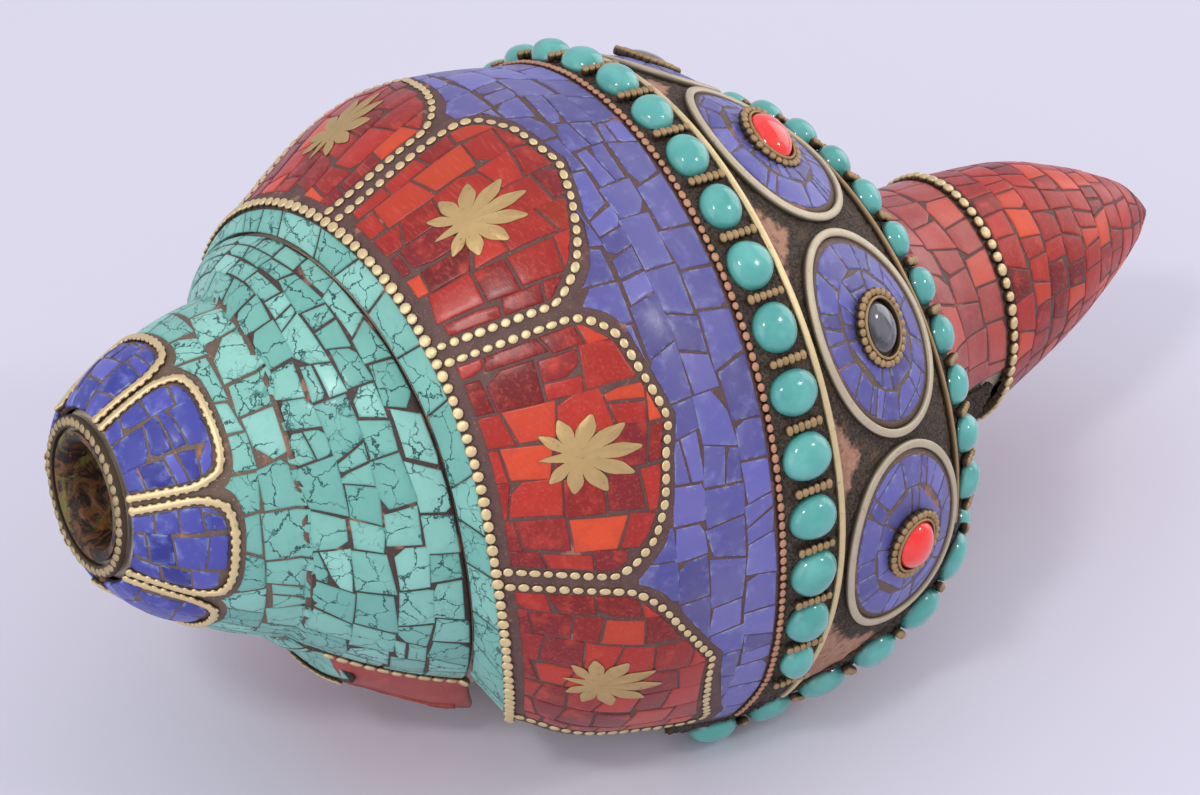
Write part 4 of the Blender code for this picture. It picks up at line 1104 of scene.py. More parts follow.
def bars(centres, normals, runs, width, seed, count, lift):
    """Short bars of beads that stand between stones, across the row."""
    across = np.cross(normals, runs)
    step = width / count
    offsets = (np.arange(count) - (count - 1) / 2.0) * step
    shift = across[:, None] * offsets[None, :, None] + normals[:, None] * lift
    points = (centres[:, None] + MM * shift).reshape(-1, 3)
    repeat = np.repeat(np.arange(len(centres)), count)
    return bead_mesh(points, normals[repeat], across[repeat], step * 0.56, 0.72, 0.95, seed, 0.12)


# The apex


def apex_w(s, theta):
    """The w on the apex cone at a distance s along the axis."""
    all_s, _ = stations(np.asarray(theta, float))
    return (s - all_s[..., 0]) / (all_s[..., 1] - all_s[..., 0])


def apex_side(theta):
    """Where an angle is across its apex petal, from -1 to 1."""
    return ((theta - APEX_VALLEY) / APEX_PITCH % 1.0) * 2.0 - 1.0


def apex_top(u):
    return APEX_SIDE + APEX_ARCH * np.sqrt(np.clip(1.0 - np.asarray(u) ** 4, 0.0, 1.0))


def apex_lift(w, theta):
    """The pillow shape of the apex petals."""
    u = apex_side(theta)
    all_s, _ = stations(theta)
    s = all_s[..., 0] + (all_s[..., 1] - all_s[..., 0]) * w
    share = np.clip((s - APEX_FOOT) / (apex_top(u) - 0.9 - APEX_FOOT), 0.0, 1.0)
    side = np.clip(np.abs(u) * 1.12, 0.0, 1.0)
    return APEX_RISE * (1.0 - side**4) * np.sin(math.pi * share) ** 0.6


def chaikin(points):
    """An open line with its corners rounded."""
    for _ in range(2):
        a, b = points[:-1], points[1:]
        cut = np.stack([a * 0.75 + b * 0.25, a * 0.25 + b * 0.75], 1).reshape(-1, 2)
        points = np.concatenate([points[:1], cut, points[-1:]])
    return points


def apex_outline(middle, margin):
    """The outline of an apex petal, (theta, w), moved in by a margin in mm."""
    half = APEX_PITCH / 2.0
    side = np.linspace(APEX_FOOT - 0.2, APEX_SIDE - 0.6, 6)
    over = np.linspace(-0.86, 0.86, 17)
    gap = degrees(margin, apex_w(side, middle), middle)
    top = middle + over * (half - degrees(margin, 0.5, middle))
    theta = np.concatenate([middle - half + gap, top, middle + half - gap[::-1]])
    s = np.concatenate([side, apex_top(over) - margin + 0.75, side[::-1]])
    return chaikin(np.stack([theta, apex_w(s, theta)], -1))


def apex():
    """Lapis petals round the blow hole, with a strip and beads round each."""
    rows = np.linspace(0.02, 1.0, 40)[:, None]
    lift = apex_lift(rows, ALL_ROUND) - GROUT_DROP
    sheet("apex_grout", rows, ALL_ROUND, lift, "tan_grout", "lac", closed=True)
    wires = []
    for k in range(APEX_PETALS):
        middle = APEX_VALLEY + (k - 2.5) * APEX_PITCH
        mosaic = Mosaic(apex_outline(middle, 1.75), (0.10, 0.24), 20 + k, apex_lift, 1.0)
        lines = [middle + u * APEX_PITCH / 2.0 for u in (-1.0, -0.36, 0.30, 1.0)]
        mosaic.lay_along(0.0, 0.55, lines, 4.6 / APEX_MM_PER_W, 0.3, 0.15)
        mosaic.finish(f"apex_petal_{k + 1}_tiles", "lapis", "lapis", [f"apex_petal_{k + 1}"])
        theta, w = apex_outline(middle, 0.88).T
        wires.append(ribbon(w, theta, 0.62, 0.95, 0.8))
        wires.append(beads_on(w, theta, 0.2, 1.36, 0.66, 0.72, 0.62, 40 + k, ends=0.3))
    metal("apex_petal_wires", wires, "brass", "brass", ["apex_petal_wire"])


def hole_circle(radius, s, sides):
    """Points round the blow hole's own centre."""
    angles = np.radians(np.arange(sides) * 360.0 / sides)
    x = HOLE_CENTRE[0] + radius * np.cos(angles)
    y = HOLE_CENTRE[1] + radius * np.sin(angles)
    return place(np.full(sides, s), np.hypot(x, y), np.degrees(np.arctan2(y, x)))


def hoop(rings, crowns):
    """A ring-shaped body through rings of points, each with its crown."""
    points, sides = np.concatenate(rings), len(rings[0])
    faces = grid_faces(len(rings), sides, over_it=True)
    return points, outwards(points, faces), np.repeat(crowns, sides)


def lathe(name, section, sides, material, nodes):
    """A ring round the blow hole, with a section of radii and places along the axis."""
    body = hoop([hole_circle(r, s, sides) for r, s in section], [0.2] * len(section))
    metal(name, [body], material, "brass", nodes, sharp=50)


def blow_hole():
    """The rope ring round the hole and the patinated cup inside it."""
    collar = ((10.2, 1.5), (10.2, 0.6), (10.9, 0.35), (11.8, 0.6), (12.0, 1.3), (11.7, 1.5))
    lathe("blow_hole_collar", collar, 96, "old_brass", ["blow_hole_ring"])
    axis = unit(place(0.0, 0.0, 0.0) - place(1.0, 0.0, 0.0))
    middle = hole_circle(11.05, 0.85, 44)
    radial = unit(middle - hole_circle(0.0, 0.85, 44))
    normals = unit(axis + 0.35 * radial)
    runs = flattened(unit(np.cross(normals, radial) + 0.45 * radial), normals)
    rope = bead_mesh(middle, normals, runs, 0.9, 0.68, 0.95, 5)
    metal("blow_hole_rope", [rope], "rope_brass", "brass")
    outside = [(9.6, 0.75), (9.6, 1.5), (8.6, 2.0), (6.15, 13.2), (5.3, 13.2)]
    bowl = [
        (5.3 + 2.4 * t + 0.5 * math.sin(math.pi * t), 13.2 - 11.5 * t)
        for t in np.linspace(0.0, 1.0, 7)[1:-1]
    ]
    cup = [*outside, *bowl, (7.9, 1.5), (8.6, 0.75)]
    lathe("mouth_cup_patina", cup, 72, "patina", ["mouth_cup"])


# The spire


def spire():
    """Turquoise mosaic of the apex cone, and of the spire below it."""
    rows = np.linspace(1.0, 1.99, 22)[:, None]
    sheet("spire_grout", rows, ALL_ROUND, -GROUT_DROP, "dark_grout", "lac", closed=True)
    edge = np.linspace(LIP[0] - 360.0, LIP[0] - 1.0, 400)
    u = np.clip(np.abs(apex_side(edge)) - 0.05, 0.0, 1.0)
    start = apex_w(apex_top(u) + 1.15, edge)
    turn = np.radians(edge)
    border = 1.0 + 0.022 * np.sin(7.0 * turn) + 0.016 * np.sin(17.0 * turn + 1.0)
    mosaic = Mosaic(strip(edge, start, border + 0.004), (0.08, 0.30), 61)
    lines = [wandering(v, 0.012) for v in (0.26, 0.49, 0.745, 1.06)]
    mosaic.lay_round(LIP[0] - 360.0, LIP[0], lines, 6.3, 0.08, 0.4, 0.14)
    mosaic.finish("apex_cone_tiles", "turquoise", "turquoise")
    region = list(zip(edge, border - 0.004))
    region += [(t, 1.985) for t in np.linspace(LIP[0] - 1.0, LIP[0] - 360.0, 60)]
    mosaic = Mosaic(region, (0.07, 0.28), 67)
    lines = [wandering(v, 0.014) for v in (0.94, 1.25, 1.50, 1.74, 2.0)]
    mosaic.lay_round(LIP[0] - 360.0, LIP[0], lines, 6.2, 0.09, 0.4, 0.14)
    mosaic.finish("spire_tiles", "turquoise", "turquoise", ["spire_turquoise"])


def ramp():
    """Turquoise mosaic of the shelf between the spire and the shoulder."""
    theta = np.linspace(*RAMP_ENDS, 240)
    rows = between(along("suture", 0.1, theta), along("shoulder", -0.2, theta), 6)
    sheet("ramp_grout", rows, theta, -GROUT_DROP, "dark_grout", "lac")
    edge = np.linspace(*RAMP_ENDS, 160)
    region = strip(edge, along("suture", 0.12, edge), along("shoulder", -1.15, edge))
    mosaic = Mosaic(region, (0.07, 0.22), 71)
    lines = [lambda t: along("suture", 0.0, t), lambda t: along("shoulder", -0.9, t)]
    mosaic.lay_round(*RAMP_ENDS, lines, 8.4, 0.02, 0.15, 0.1)
    mosaic.finish("ramp_tiles", "turquoise", "turquoise", ["ramp_turquoise"])


# The coral petals and the lapis band


def reach_of(k, u):
    """How far petal k reaches from the shoulder wire, at u across it."""
    return np.interp(u, *PETAL_REACH[PETAL_KINDS[k]])


def petal_of(theta):
    """Which petal an angle belongs to, and where across it."""
    edges = np.array(PETAL_EDGES)
    k = np.clip(np.searchsorted(edges, theta, side="right") - 1, 0, len(edges) - 2)
    middle, half = (edges[k] + edges[k + 1]) / 2.0, (edges[k + 1] - edges[k]) / 2.0
    return k, (theta - middle) / half


def petal_reach(theta):
    k, u = petal_of(theta)
    petals = range(len(PETAL_KINDS))
    return np.select([k == i for i in petals], [reach_of(i, u) for i in petals])


def w_at(reach, theta):
    """The w at a distance in mm beyond the shoulder wire."""
    return SHOULDER + (along("shoulder", 1.0, theta) - SHOULDER) * reach


def petal_lift(w, theta):
    """The pillow shape of the petals, and nothing outside them."""
    _, u = petal_of(theta)
    t = (w - SHOULDER) / (along("shoulder", 1.0, theta) - SHOULDER)
    share = np.clip((t - SEAM) / (petal_reach(theta) - 2.0 * SEAM), 0.0, 1.0)
    side = np.clip(np.abs(u) * 1.08, 0.0, 1.0)
    return PETAL_RISE * (1.0 - side**4) * np.sin(math.pi * share) ** 0.5


def petal_outline(k, margin):
    """A petal's outline, (theta, w), moved in from the middle of the valley by a margin in mm."""
    first, last = PETAL_EDGES[k : k + 2]
    middle, half = (first + last) / 2.0, (last - first) / 2.0
    foot = 0.55 + margin * 0.75
    left = np.linspace(foot, reach_of(k, -0.93) - 2.0, 7)
    right = np.linspace(reach_of(k, 0.93) - 2.0, foot, 7)
    over = np.linspace(-0.9, 0.9, 31)

    def turn(reach):
        return degrees(margin, w_at(reach, middle), middle)

    top = middle + over * (half - turn(22.0))
    theta = np.concatenate([first + turn(left), top, last - turn(right)])
    reach = np.concatenate([left, reach_of(k, over) + 1.25 - margin, right])
    return chaikin(np.stack([theta, w_at(reach, theta)], -1))


def coral():
    """Coral mosaic in each petal, the beaded wires round them and the brass motifs."""
    theta = np.linspace(PETAL_EDGES[0] - 1.0, PETAL_EDGES[-1] + 1.5, 460)
    high = np.where(theta < BANDS_START, w_at(petal_reach(theta) + 1.0, theta), 4.985)
    rows = between(SHOULDER, high, 62)
    lift = petal_lift(rows, theta) - GROUT_DROP
    sheet("petal_grout", rows, theta, lift, "grey_grout", "lac")
    wires = []
    for k in range(len(PETAL_KINDS)):
        first, last = PETAL_EDGES[k : k + 2]
        middle, half = (first + last) / 2.0, (last - first) / 2.0
        mosaic = Mosaic(petal_outline(k, 2.2), (0.08, 0.26), 80 + k, petal_lift)
        shares = np.linspace(-1.0, 1.0, 8)
        shares[1:-1] += mosaic.rng.uniform(-0.03, 0.03, 6)
        lines = middle + shares * half
        mosaic.lay_along(SHOULDER, 4.6, lines, 5.7 / PETAL_MM_PER_W, 0.25, 0.1)
        mosaic.finish(f"coral_petal_{k + 1}_tiles", "coral", "coral", [f"coral_petal_{k + 1}"])
        theta, w = petal_outline(k, 1.25).T
        wires.append(beads_on(w, theta, -0.02, 1.9, 0.80, 0.62, 0.4, 90 + k, ends=0.2))
        if k in MOTIF_PETALS:
            motif(k, middle)
    metal("petal_beads", wires, "brass", "brass", ["petal_wire"])


def shoulder():
    """The beaded wire between the shelf and the petals."""
    theta = np.linspace(-168.0, 168.0, 700)
    beads = beads_on(SHOULDER, theta, 0.0, 1.85, 0.84, 0.84, 0.55, 101)
    metal("shoulder_beads", [beads], "brass", "brass", ["shoulder_wire"])


def lapis_band():
    """Lapis mosaic from the petals to the upper row, and the copper wire that ends it."""
    edge = np.linspace(BANDS_START + 0.5, 165.5, 420)
    near = np.minimum(w_at(petal_reach(edge) + 1.75, edge), 4.8)
    mosaic = Mosaic(strip(edge, near, along("girdle", -1.0, edge)), (0.07, 0.24), 111)
    lines = []
    for offset in (28.6, 22.8, 17.2, 12.2, 6.4, 0.4):
        drift = wandering(offset, 0.5)
        lines.append(lambda t, drift=drift: along("girdle", -drift(t), t))
    mosaic.lay_round(BANDS_START, 166.0, lines, 6.6, 0.09, 0.36, 0.16)
    mosaic.finish("lapis_band_tiles", "dusty_lapis", "lapis", ["lapis_band"])
    theta = np.linspace(BANDS_START, 165.0, 700)
    beads = beads_on(GIRDLE, theta, 0.1, 1.5, 0.68, 0.56, 0.55, 112)
    metal("girdle_beads", [beads], "copper", "copper", ["girdle_wire"])


def one_tile(count, colour):
    """The attributes of a body that is one tile, with no edge marks: no wear and no painted shade."""
    return {"tile": np.tile(colour, (count, 1)), "edge": np.zeros(count)}


def parietal():
    """Coral on the parietal wall, left of the petals."""
    first, last = PARIETAL_EDGES[0] + 1.0, PARIETAL_EDGES[1] - 1.4
    theta = np.linspace(first, last, 40)
    rows = w_at(np.linspace(0.8, 20.0, 24)[:, None], theta)
    tone = one_tile(rows.size, (0.5, 0.5, 0.5, 0.5))
    sheet("parietal_bed", rows, theta, -GROUT_DROP, "dusty_coral", "coral", attributes=tone)
    edge = np.linspace(first + 0.8, last - 0.8, 12)
    mosaic = Mosaic(strip(edge, w_at(1.6, edge), w_at(19.4, edge)), (0.13, 0.3), 119)
    lines = np.linspace(first, last, 4)
    mosaic.lay_along(SHOULDER, 4.0, lines, 6.4 / PETAL_MM_PER_W, 0.22, 0.12)
    mosaic.finish("parietal_coral_tiles", "coral", "coral", ["parietal_coral"])


def ledge():
    """The coral-covered lac that closes the step between the spire and the parietal wall."""
    edge = PARIETAL_EDGES[0]
    share = np.linspace(0.0, 1.0, 30)
    inner = surface(1.16 + 0.83 * share, 177.6, -0.9)
    outer = surface(3.0 + 0.97 * share, edge + 0.6 + 2.4 * share**3, -0.25)
    across = np.linspace(0.0, 1.0, 9)[:, None, None]
    out = unit(surface(3.0, edge, 1.0) - surface(3.0, edge, 0.0))
    top = inner + (outer - inner) * across + out * 0.5 * MM * np.sin(math.pi * across)
    tone = one_tile(top.size // 3, (*np.random.default_rng(301).random(3), 1.0))
    slab("parietal_ledge", top, top - out * 0.9 * MM, "dusty_coral", "coral", attributes=tone)
    beads = beads_on(np.linspace(1.2, 2.0, 200), 178.8, 0.15, 2.3, 1.05, 0.85, 0.8, 303)
    metal("ledge_beads", [beads], "brass", "brass")


def motif(k, middle):
    """A pierced palmette of sheet brass: leaves fanned out from a root, with slots between them."""
    leaves, root, spread, centre = 9, 2.0, math.radians(148.0), 15.5
    angles = np.linspace(-math.pi, math.pi, 577)[:-1]
    away = np.abs(angles)
    reach = 9.6 - 3.9 * np.clip(away / spread, 0.0, 1.0) ** 1.5
    wave = np.abs(np.cos(angles / spread * leaves * math.pi / 2.0))
    leaf = root + (reach - root) * (0.82 * wave**0.3 + 0.18 * wave**8)
    tail = root + 3.2 * np.clip((away - spread) / (math.pi - spread), 0.0, 1.0) ** 2.0
    radius = np.where(away > spread, tail, leaf)
    x, y = radius * np.sin(angles) * 0.72, radius * np.cos(angles)
    points, crowns = [], []
    rings = ((0.55, 0.0), (0.96, 0.0), (1.0, -0.09), (1.0, -0.6))
    for scale, lift in (*rings, (0.0, -0.6), (0.0, 0.0)):
        kept = slice(None) if scale else slice(1)
        w = w_at(centre + y[kept] * scale - root, middle)
        theta = middle + degrees(x[kept] * scale, w, middle)
        points.append(surface(w, theta, petal_lift(w, theta) + 0.16 + lift))
        crowns.append(np.full(len(w), 0.3 if lift else 1.0))
    points = np.concatenate(points)
    faces = outwards(points, capped_faces(len(rings), len(x), 0))
    plate = (points, faces, np.concatenate(crowns))
    name = f"brass_motif_{k + 1}"
    metal(f"{name}_plate", [plate], "plate", "brass", [name], sharp=40)


# The rows of stones


def spaced(w_of, first, last, pitch):
    angles = [last]
    while angles[-1] > first:
        angles.append(angles[-1] - float(degrees(pitch, w_of(angles[-1]), angles[-1])))
    return np.array(angles[:-1])


def gritty(name, w, theta, lift, seed, amount=0.16, material="lac", nodes=(), **more):
    """A bed of lac with a rough top."""
    w, theta, lift = np.broadcast_arrays(w, theta, lift)
    rough = np.random.default_rng(seed).normal(0.0, amount, w.shape)
    inner = rough[1:-1, 1:-1] + 0.6 * rough[:-2, 1:-1] + 0.6 * rough[1:-1, :-2]
    rough[1:-1, 1:-1] = inner / 1.4
    sheet(name, w, theta, lift + rough, material, "lac", nodes, **more)


def stone_row(name, on, bars_on, long, wide, high, seed, bar_width, bar_beads, bar_lift):
    """A row of stones on their stands, with bars of beads on the stands between them."""
    points, faces, looks = domes(*on, long, wide, high, seed)
    nodes = [f"{name}_stone_row"]
    piece(f"{name}_cabochons", points, faces, "cabochon", "cabochon", nodes, looks)
    between_them = bars(*bars_on, bar_width, seed + 4, bar_beads, bar_lift)
    metal(f"{name}_row_bars", [between_them], "old_brass", "brass")


def row_round(name, w_of, angles, lift, *sizes):
    """A row of stones round the shell, each at its angle, on a line of w."""

    def on(at, lift):
        return stand(w_of(at), at, lift, -np.gradient(surface(w_of(at), at), axis=0))

    halfway = (angles[:-1] + angles[1:]) / 2.0
    halfway = np.concatenate([[angles[0] + (angles[0] - halfway[0])], halfway])
    stone_row(name, on(angles, lift), on(halfway, 0.2), *sizes)


def upper_row():
    theta = np.linspace(BANDS_START, ROW_END, 560)
    rows = between(along("girdle", 0.5, theta), along("band_top", -0.5, theta), 16)
    gritty("upper_row_lac", rows, theta, 0.05, 121)

    def middle(angle):
        return (along("girdle", SEAM, angle) + along("band_top", -SEAM, angle)) / 2.0

    angles = spaced(middle, BANDS_START + 5.0, UPPER_LAST, UPPER_PITCH)
    near = surface(along("girdle", 1.0, angles), angles)
    far = surface(along("band_top", -1.0, angles), angles)
    wide = np.linalg.norm(far - near, axis=1) / MM * 0.96
    row_round("upper", middle, angles, 0.25, 7.4, wide, 2.62, 123, 6.2, 6, 0.85)


def lower_row():
    theta = np.linspace(BANDS_START, LOWER_ROW_END, 460)
    low, high = along("band_foot", -LOWER_HALF, theta), along("band_foot", LOWER_HALF, theta)
    gritty("lower_row_lac", between(low, high, 11), theta, 0.0, 131)
    middle = level_line(BAND_FOOT)
    angles = spaced(middle, BANDS_START + 4.0, LOWER_LAST, LOWER_PITCH)
    wide = 2.0 * LOWER_HALF - 0.5
    row_round("lower", middle, angles, 0.2, 6.3, wide, 2.45, 133, 4.2, 4, 0.8)


def lip_row():
    """The row of stones along the lip, which turns with it."""
    fine = np.linspace(*LIP_REACH, 300)
    offsets = np.linspace(STRIP_WIDTH, 0.2, 15)[:, None]
    gritty("lip_row_lac", fine, lip(fine) - degrees(offsets, fine, lip(fine)), 0.0, 141)
    reach = np.linspace(LIP_REACH[0] + 0.1, LIP_REACH[1] - 0.1, 600)
    middle = lip(reach) - degrees(STRIP_WIDTH / 2.0, reach, lip(reach))
    line = surface(reach, middle)
    length = lengths(line) / MM
    direction = np.gradient(line, axis=0)

    def on(distance, lift):
        k = np.clip(np.searchsorted(length, distance), 0, len(line) - 1)
        return stand(reach[k], middle[k], lift, direction[k])

    count = int((length[-1] - LIP_LONG) / LIP_PITCH) + 1
    at = LIP_LONG / 2.0 + np.arange(count) * LIP_PITCH
    halfway = on(at[:-1] + LIP_PITCH / 2.0, 0.2)
    wide = STRIP_WIDTH - 1.2
    stone_row("lip", on(at, 0.05), halfway, LIP_LONG, wide, 2.55, 143, 5.6, 4, 0.85)


def band_strips():
    """The flat brass strips that edge the medallions above and below."""
    theta = np.linspace(BANDS_START, 163.0, 420)
    strip_above = ribbon(BAND_TOP, theta, 0.55, 1.15, 1.4)
    metal("band_top_strip", [strip_above], "brass", "brass", ["band_top_wire"])
    theta = np.linspace(BANDS_START, LOWER_ROW_END - 1.0, 380)
    strip_below = ribbon(along("band_foot", -LOWER_HALF - 0.3, theta), theta, 0.45, 0.7, 1.2)
    metal("band_foot_strip", [strip_below], "old_brass", "brass")


# The medallions


def medallion_place(middle, x, y):
    """(w, theta) of a point of the band: x and y go from -1 to 1 round the shell and across it."""
    theta = middle + x * MEDALLION_HALF_TURN
    low = along("band_top", SEAM + MEDALLION_MARGIN, theta)
    high = along("band_foot", -LOWER_HALF - GAP - MEDALLION_MARGIN, theta)
    return (low + high) / 2.0 + y * (high - low) / 2.0, theta


def medallion_y(middle, x, w):
    """Where across the band a point is, from -1 to 1."""
    low, high = (medallion_place(middle, x, side)[0] for side in (-1.0, 1.0))
    return (w - low) / (high - low) * 2.0 - 1.0


def medallion_ground():
    """The patched lac behind the medallions, which ends along the lip."""

    def rows(theta):
        return between(along("band_top", 0.4, theta), along("band_foot", -LOWER_HALF, theta), 26)

    near_lip = rows(155.0)
    end = lip(near_lip) - degrees(STRIP_WIDTH + 0.4, near_lip, lip(near_lip))
    theta = BANDS_START + (end - BANDS_START) * np.linspace(0.0, 1.0, 520)
    w = rows(theta)
    middles = np.array(MEDALLIONS)
    nearest = middles[np.abs(theta[..., None] - middles).argmin(axis=-1)]
    x = (theta - nearest) / MEDALLION_HALF_TURN
    y = medallion_y(nearest, x, w)
    peach = smooth_step((np.hypot(x, y) - 1.08) / 0.3) * np.where(y < 0.0, 0.66, 0.3)
    more = {"thickness": 0.8, "attributes": {"peach": peach}}
    nodes = ["medallion_band"]
    gritty("medallion_ground", w, theta, -0.5, 151, 0.10, "patched_lac", nodes, **more)


def plaque_lift(x, y):
    return PLAQUE_LIFT + MEDALLION_RISE * smooth_step((1.0 - np.hypot(x, y)) / 0.5)


def medallions():
    """Each medallion: its frame, its bed, its tiles and its stone."""
    turn = np.linspace(0.0, 2.0 * math.pi, 97)[:-1]
    cos, sin = np.cos(turn), np.sin(turn)
    shares = np.linspace(0.0, 0.95, 14)[:, None]
    shares[0] = 0.02
    x, y = cos * shares, sin * shares
    lift = plaque_lift(x, y) - GROUT_DROP
    for k, middle in enumerate(MEDALLIONS):
        edge = ribbon(*medallion_place(middle, cos, sin), 0.6, 1.25, 1.4, closed=True)
        name = f"medallion_frame_{k + 1}"
        metal(f"{name}_strip", [edge], "pale_brass", "brass", [name])
        w, theta = medallion_place(middle, x, y)
        bed = {"closed": True, "thickness": 1.3}
        sheet(f"plaque_grout_{k + 1}", w, theta, lift, "tan_grout", "lac", **bed)
        plaque_tiles(k, middle)
        set_stone(k, middle)


def plaque_tiles(k, middle):
    """Lapis tiles in two rings round the middle of the plaque."""
    rng = np.random.default_rng(160 + k)

    def lift(w, theta):
        x = (theta - middle) / MEDALLION_HALF_TURN
        return plaque_lift(x, medallion_y(middle, x, w))

    def at(radius, angle):
        w, theta = medallion_place(middle, radius * math.cos(angle), radius * math.sin(angle))
        return float(theta), float(w)

    region = [at(0.885, angle) for angle in np.linspace(0.0, 2.0 * math.pi, 61)[:-1]]
    mosaic = Mosaic(region, (0.08, 0.24), 170 + k, lift, 0.8)
    for inner, outer, count in ((0.60, 1.05, 15), (0.30, 0.60, 9)):
        cuts = (np.arange(count) + rng.uniform(-0.34, 0.34, count)) * 2.0 * math.pi / count
        cuts += rng.uniform(0.0, 1.0)
        shift = rng.uniform(-0.11, 0.11, count)
        for j in range(count):
            n = (j + 1) % count
            a, b = cuts[j], cuts[n] + (0.0 if n else 2.0 * math.pi)
            quad = [at(inner, a), at(outer, a + shift[j]), at(outer, b + shift[n]), at(inner, b)]
            mosaic.add(quad, 0.2, 0.3)
    name = f"lapis_plaque_{k + 1}"
    mosaic.finish(f"{name}_tiles", "dusty_lapis", "lapis", [name])


def set_stone(k, middle):
    """A domed oval stone in a collar, with a rope of beads round it."""
    lift = PLAQUE_LIFT + MEDALLION_RISE
    w, theta = medallion_place(middle, 0.0, 0.0)
    ahead = surface(*medallion_place(middle, 0.3, 0.0), lift) - surface(w, theta, lift)
    hub, normal, run = (v[0] for v in stand([w], [theta], lift, ahead[None]))
    across = np.cross(normal, run)

    def oval(long, wide, height, count):
        turn = np.arange(count) * 2.0 * math.pi / count
        cos, sin = np.cos(turn), np.sin(turn)
        ring = np.outer(cos * long, run) + np.outer(sin * wide, across)
        tangents = np.outer(-sin * long, run) + np.outer(cos * wide, across)
        return hub + (ring + normal * height) * MM, unit(tangents)

    centres, tangents = oval(5.35, 4.55, 0.55, 26)
    rope = bead_mesh(centres, normal + 0.0 * centres, tangents, 0.66, 0.62, 0.95, 180 + k)
    collar = hoop([oval(*ring, 40)[0] for ring in BEZEL_RINGS], BEZEL_CROWNS)
    metal(f"stone_bezel_{k + 1}", [rope, collar], "old_brass", "brass")
    look, high = ("crystal", 1.7) if k in CRYSTALS else ("red_stone", 2.7)
    on = (hub + normal * 0.2 * MM)[None], normal[None], run[None]
    points, faces, looks = domes(*on, 8.4, 6.9, high, 190 + k, sides=40, levels=13, foot=0.6)
    name = f"medallion_stone_{k + 1}"
    piece(f"{name}_dome", points, faces, look, "red_stone", [name], looks)


# The canal


def canal():
    """Coral mosaic of the neck and of the tip, with the beaded ring between them."""
    first, last = float(lip(8.0)) - 360.0 + 26.0, float(lip(8.0)) - 22.0
    theta = np.linspace(first, last, 220)
    low, high = along("band_foot", LOWER_HALF + 0.1, theta), along("canal_ring", -0.3, theta)
    sheet("neck_grout", between(low, high, 36), theta, -GROUT_DROP, "grey_grout", "lac")
    edge = np.linspace(first + 0.6, last - 0.6, 120)
    low, high = along("band_foot", LOWER_HALF + 0.6, edge), along("canal_ring", -1.3, edge)
    mosaic = Mosaic(strip(edge, low, high), (0.07, 0.22), 201)
    lines = [level_line(v) for v in (7.10, 7.30, 7.50, 7.70, 7.95, 8.25, 8.6, 8.95)]
    mosaic.lay_round(first, last, lines, 5.6, 0.08, 0.3, 0.12)
    mosaic.finish("neck_tiles", "dusty_coral", "coral", ["neck_coral"])
    turn = np.linspace(-180.0, 180.0, 361)[:-1]
    ring = beads_on(CANAL_RING, turn, 0.35, 2.15, 1.0, 0.95, 1.1, 205, closed=True)
    metal("canal_ring_beads", [ring], "brass", "brass", ["canal_ring"])
    theta = np.linspace(-180.0, 180.0, 181)[:-1]
    start = along("canal_ring", SEAM, theta)
    rows = start + (11.985 - start) * np.linspace(0.0, 1.0, 70)[:, None] ** 0.9
    lift = TIP_LIFT - GROUT_DROP
    sheet("canal_tip_grout", rows, theta, lift, "grey_grout", "lac", closed=True)
    edge = np.linspace(-180.0, 179.0, 160)
    region = strip(edge, along("canal_ring", SEAM + 0.2, edge), 11.9)
    mosaic = Mosaic(region, (0.07, 0.22), 207, lambda w, theta: TIP_LIFT)
    levels = (9.06, 9.26, 9.45, 9.64, 9.83, 10.02, 10.26, 10.5, 10.74, 11.0, 11.3, 11.6, 11.9)
    lines = [level_line(v) for v in levels]
    mosaic.lay_round(-180.0, 180.0, lines, 4.4, 0.09, 0.35, 0.1)
    mosaic.finish("canal_tip_tiles", "coral", "coral", ["canal_tip_coral"])


def keep_solids():
    """The bare shell keeps its CAD solid, with its own material."""
    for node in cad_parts.values():
        if not node.hide_render:
            node.data.materials.clear()
            node.data.materials.append(MATERIALS["shell"])


# Camera, floor and light

VIEW_FROM = (-0.2701, -0.3898, 0.3350)
VIEW_RIGHT = (0.835, -0.550, 0.0005)
VIEW_UP = (0.323, 0.492, 0.809)
VIEW_BACK = (-0.444, -0.676, 0.588)
VIEW_AT_S = 103.26
FOCAL_LENGTH = 111.0
FLOOR_HALF = 12.0
FLOOR_COLOUR = (0.62, 0.605, 0.70)
ROOM_COLOUR = (0.93, 0.93, 1.0)
ROOM_LIGHT = 0.86
BACKDROP_COLOUR = (0.66, 0.645, 0.77)
LAMP_DISTANCE = 1.1
LAMPS = (
    # name     size  watts azimuth elevation colour
    ("key", 0.13, 2.4, -62.0, 50.0, (1.0, 0.985, 0.96)),
    ("second", 0.13, 1.7, 42.0, 40.0, (1.0, 0.99, 0.98)),
    ("above", 1.30, 0.6, 150.0, 72.0, (0.98, 0.98, 1.0)),
    ("left", 0.90, 3.2, -80.0, 16.0, (1.0, 0.98, 0.97)),
    ("right", 0.90, 3.4, 95.0, 20.0, (1.0, 0.98, 0.98)),
)


def camera():
    data = bpy.data.cameras.new("camera")
    data.lens = FOCAL_LENGTH
    data.sensor_width = 36.0
    made = linked("camera", data)
    target = Vector(place(VIEW_AT_S, 0.0, 0.0).tolist())
    turn = Matrix((VIEW_RIGHT, VIEW_UP, VIEW_BACK)).transposed().to_4x4()
    made.matrix_world = Matrix.Translation(target + Vector(VIEW_FROM)) @ turn
    bpy.context.scene.camera = made


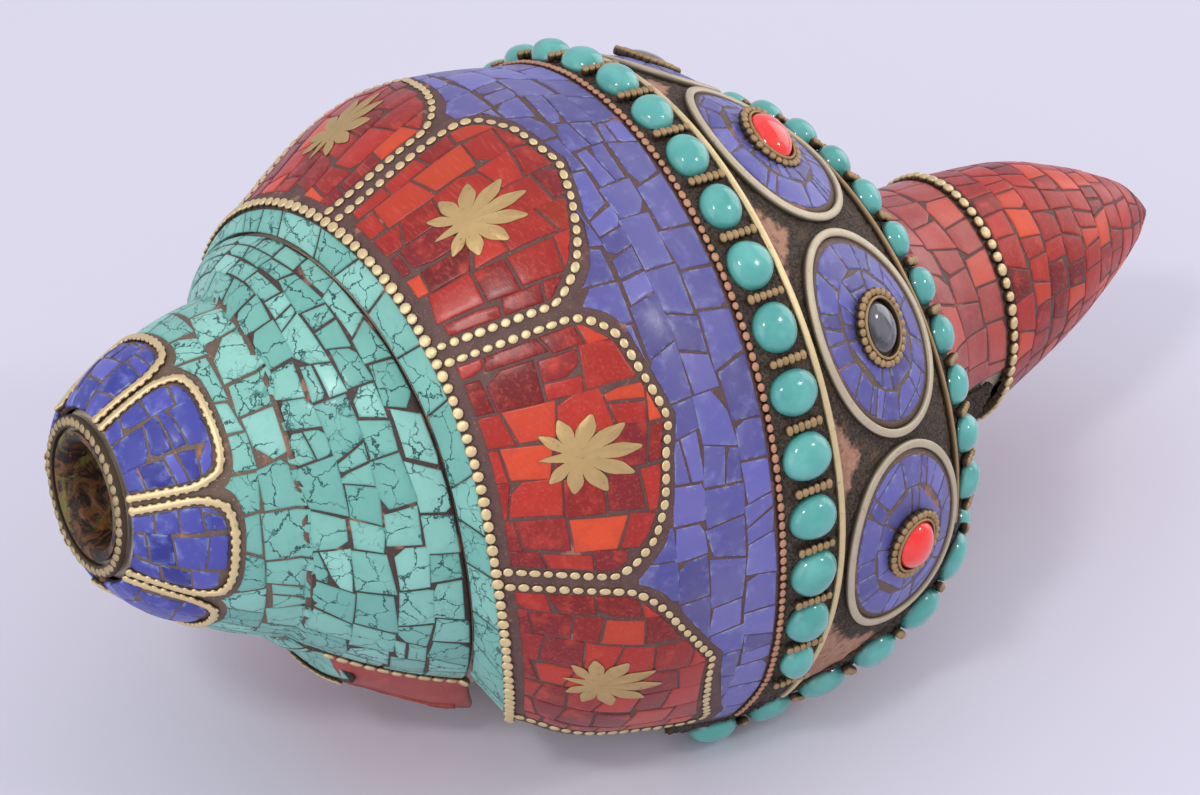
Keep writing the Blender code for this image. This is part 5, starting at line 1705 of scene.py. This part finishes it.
def floor():
    shader = Shader("pale_floor", Roughness=0.9, Specular_IOR_Level=0.15)
    mottle = shader.noise(900.0, 2.0, 0.4)
    shader.set("Base Color", shader.mix(mottle, FLOOR_COLOUR, [v * 1.02 for v in FLOOR_COLOUR]))
    mesh = bpy.data.meshes.new("floor")
    corners = [(x * FLOOR_HALF, y * FLOOR_HALF, 0.0) for x, y in ((-1, -1), (1, -1), (1, 1), (-1, 1))]
    mesh.from_pydata(corners, [], [(0, 1, 2, 3)])
    mesh.materials.append(shader.material)
    linked("floor", mesh)


def lamp(name, size, power, azimuth, elevation, colour):
    """A soft square lamp, placed round the object: azimuth 0 is in front, 90 on its right."""
    turn, rise = math.radians(azimuth), math.radians(elevation)
    flat = math.cos(rise)
    way = Vector((math.sin(turn) * flat, -math.cos(turn) * flat, math.sin(rise)))
    data = bpy.data.lights.new(name, "AREA")
    data.shape = "SQUARE"
    data.size = size
    data.energy = power
    data.color = colour
    made = linked(name, data)
    made.location = way * LAMP_DISTANCE + Vector((0.0, 0.0, 0.05))
    made.rotation_euler = way.to_track_quat("Z", "Y").to_euler()


def light():
    """The room's light, a backdrop that only the camera sees, and the lamps."""
    bpy.context.scene.view_settings.view_transform = "Standard"
    world = bpy.data.worlds.new("room")
    bpy.context.scene.world = world
    world.use_nodes = True
    tree = world.node_tree
    room = tree.nodes["Background"]
    room.inputs["Color"].default_value = (*ROOM_COLOUR, 1.0)
    room.inputs["Strength"].default_value = ROOM_LIGHT
    seen = tree.nodes.new("ShaderNodeBackground")
    seen.inputs["Color"].default_value = (*BACKDROP_COLOUR, 1.0)
    path = tree.nodes.new("ShaderNodeLightPath")
    share = path.outputs["Is Camera Ray"]
    for ray in ("Is Glossy Ray", "Is Transmission Ray"):
        most = tree.nodes.new("ShaderNodeMath")
        most.operation = "MAXIMUM"
        tree.links.new(share, most.inputs[0])
        tree.links.new(path.outputs[ray], most.inputs[1])
        share = most.outputs[0]
    mix = tree.nodes.new("ShaderNodeMixShader")
    for k, output in enumerate((share, room.outputs[0], seen.outputs[0])):
        tree.links.new(output, mix.inputs[k])
    tree.links.new(mix.outputs[0], tree.nodes["World Output"].inputs["Surface"])
    for row in LAMPS:
        lamp(*row)


apex()
blow_hole()
spire()
ramp()
shoulder()
coral()
lapis_band()
parietal()
ledge()
upper_row()
band_strips()
medallion_ground()
medallions()
lower_row()
lip_row()
canal()
keep_solids()
floor()
camera()
light()
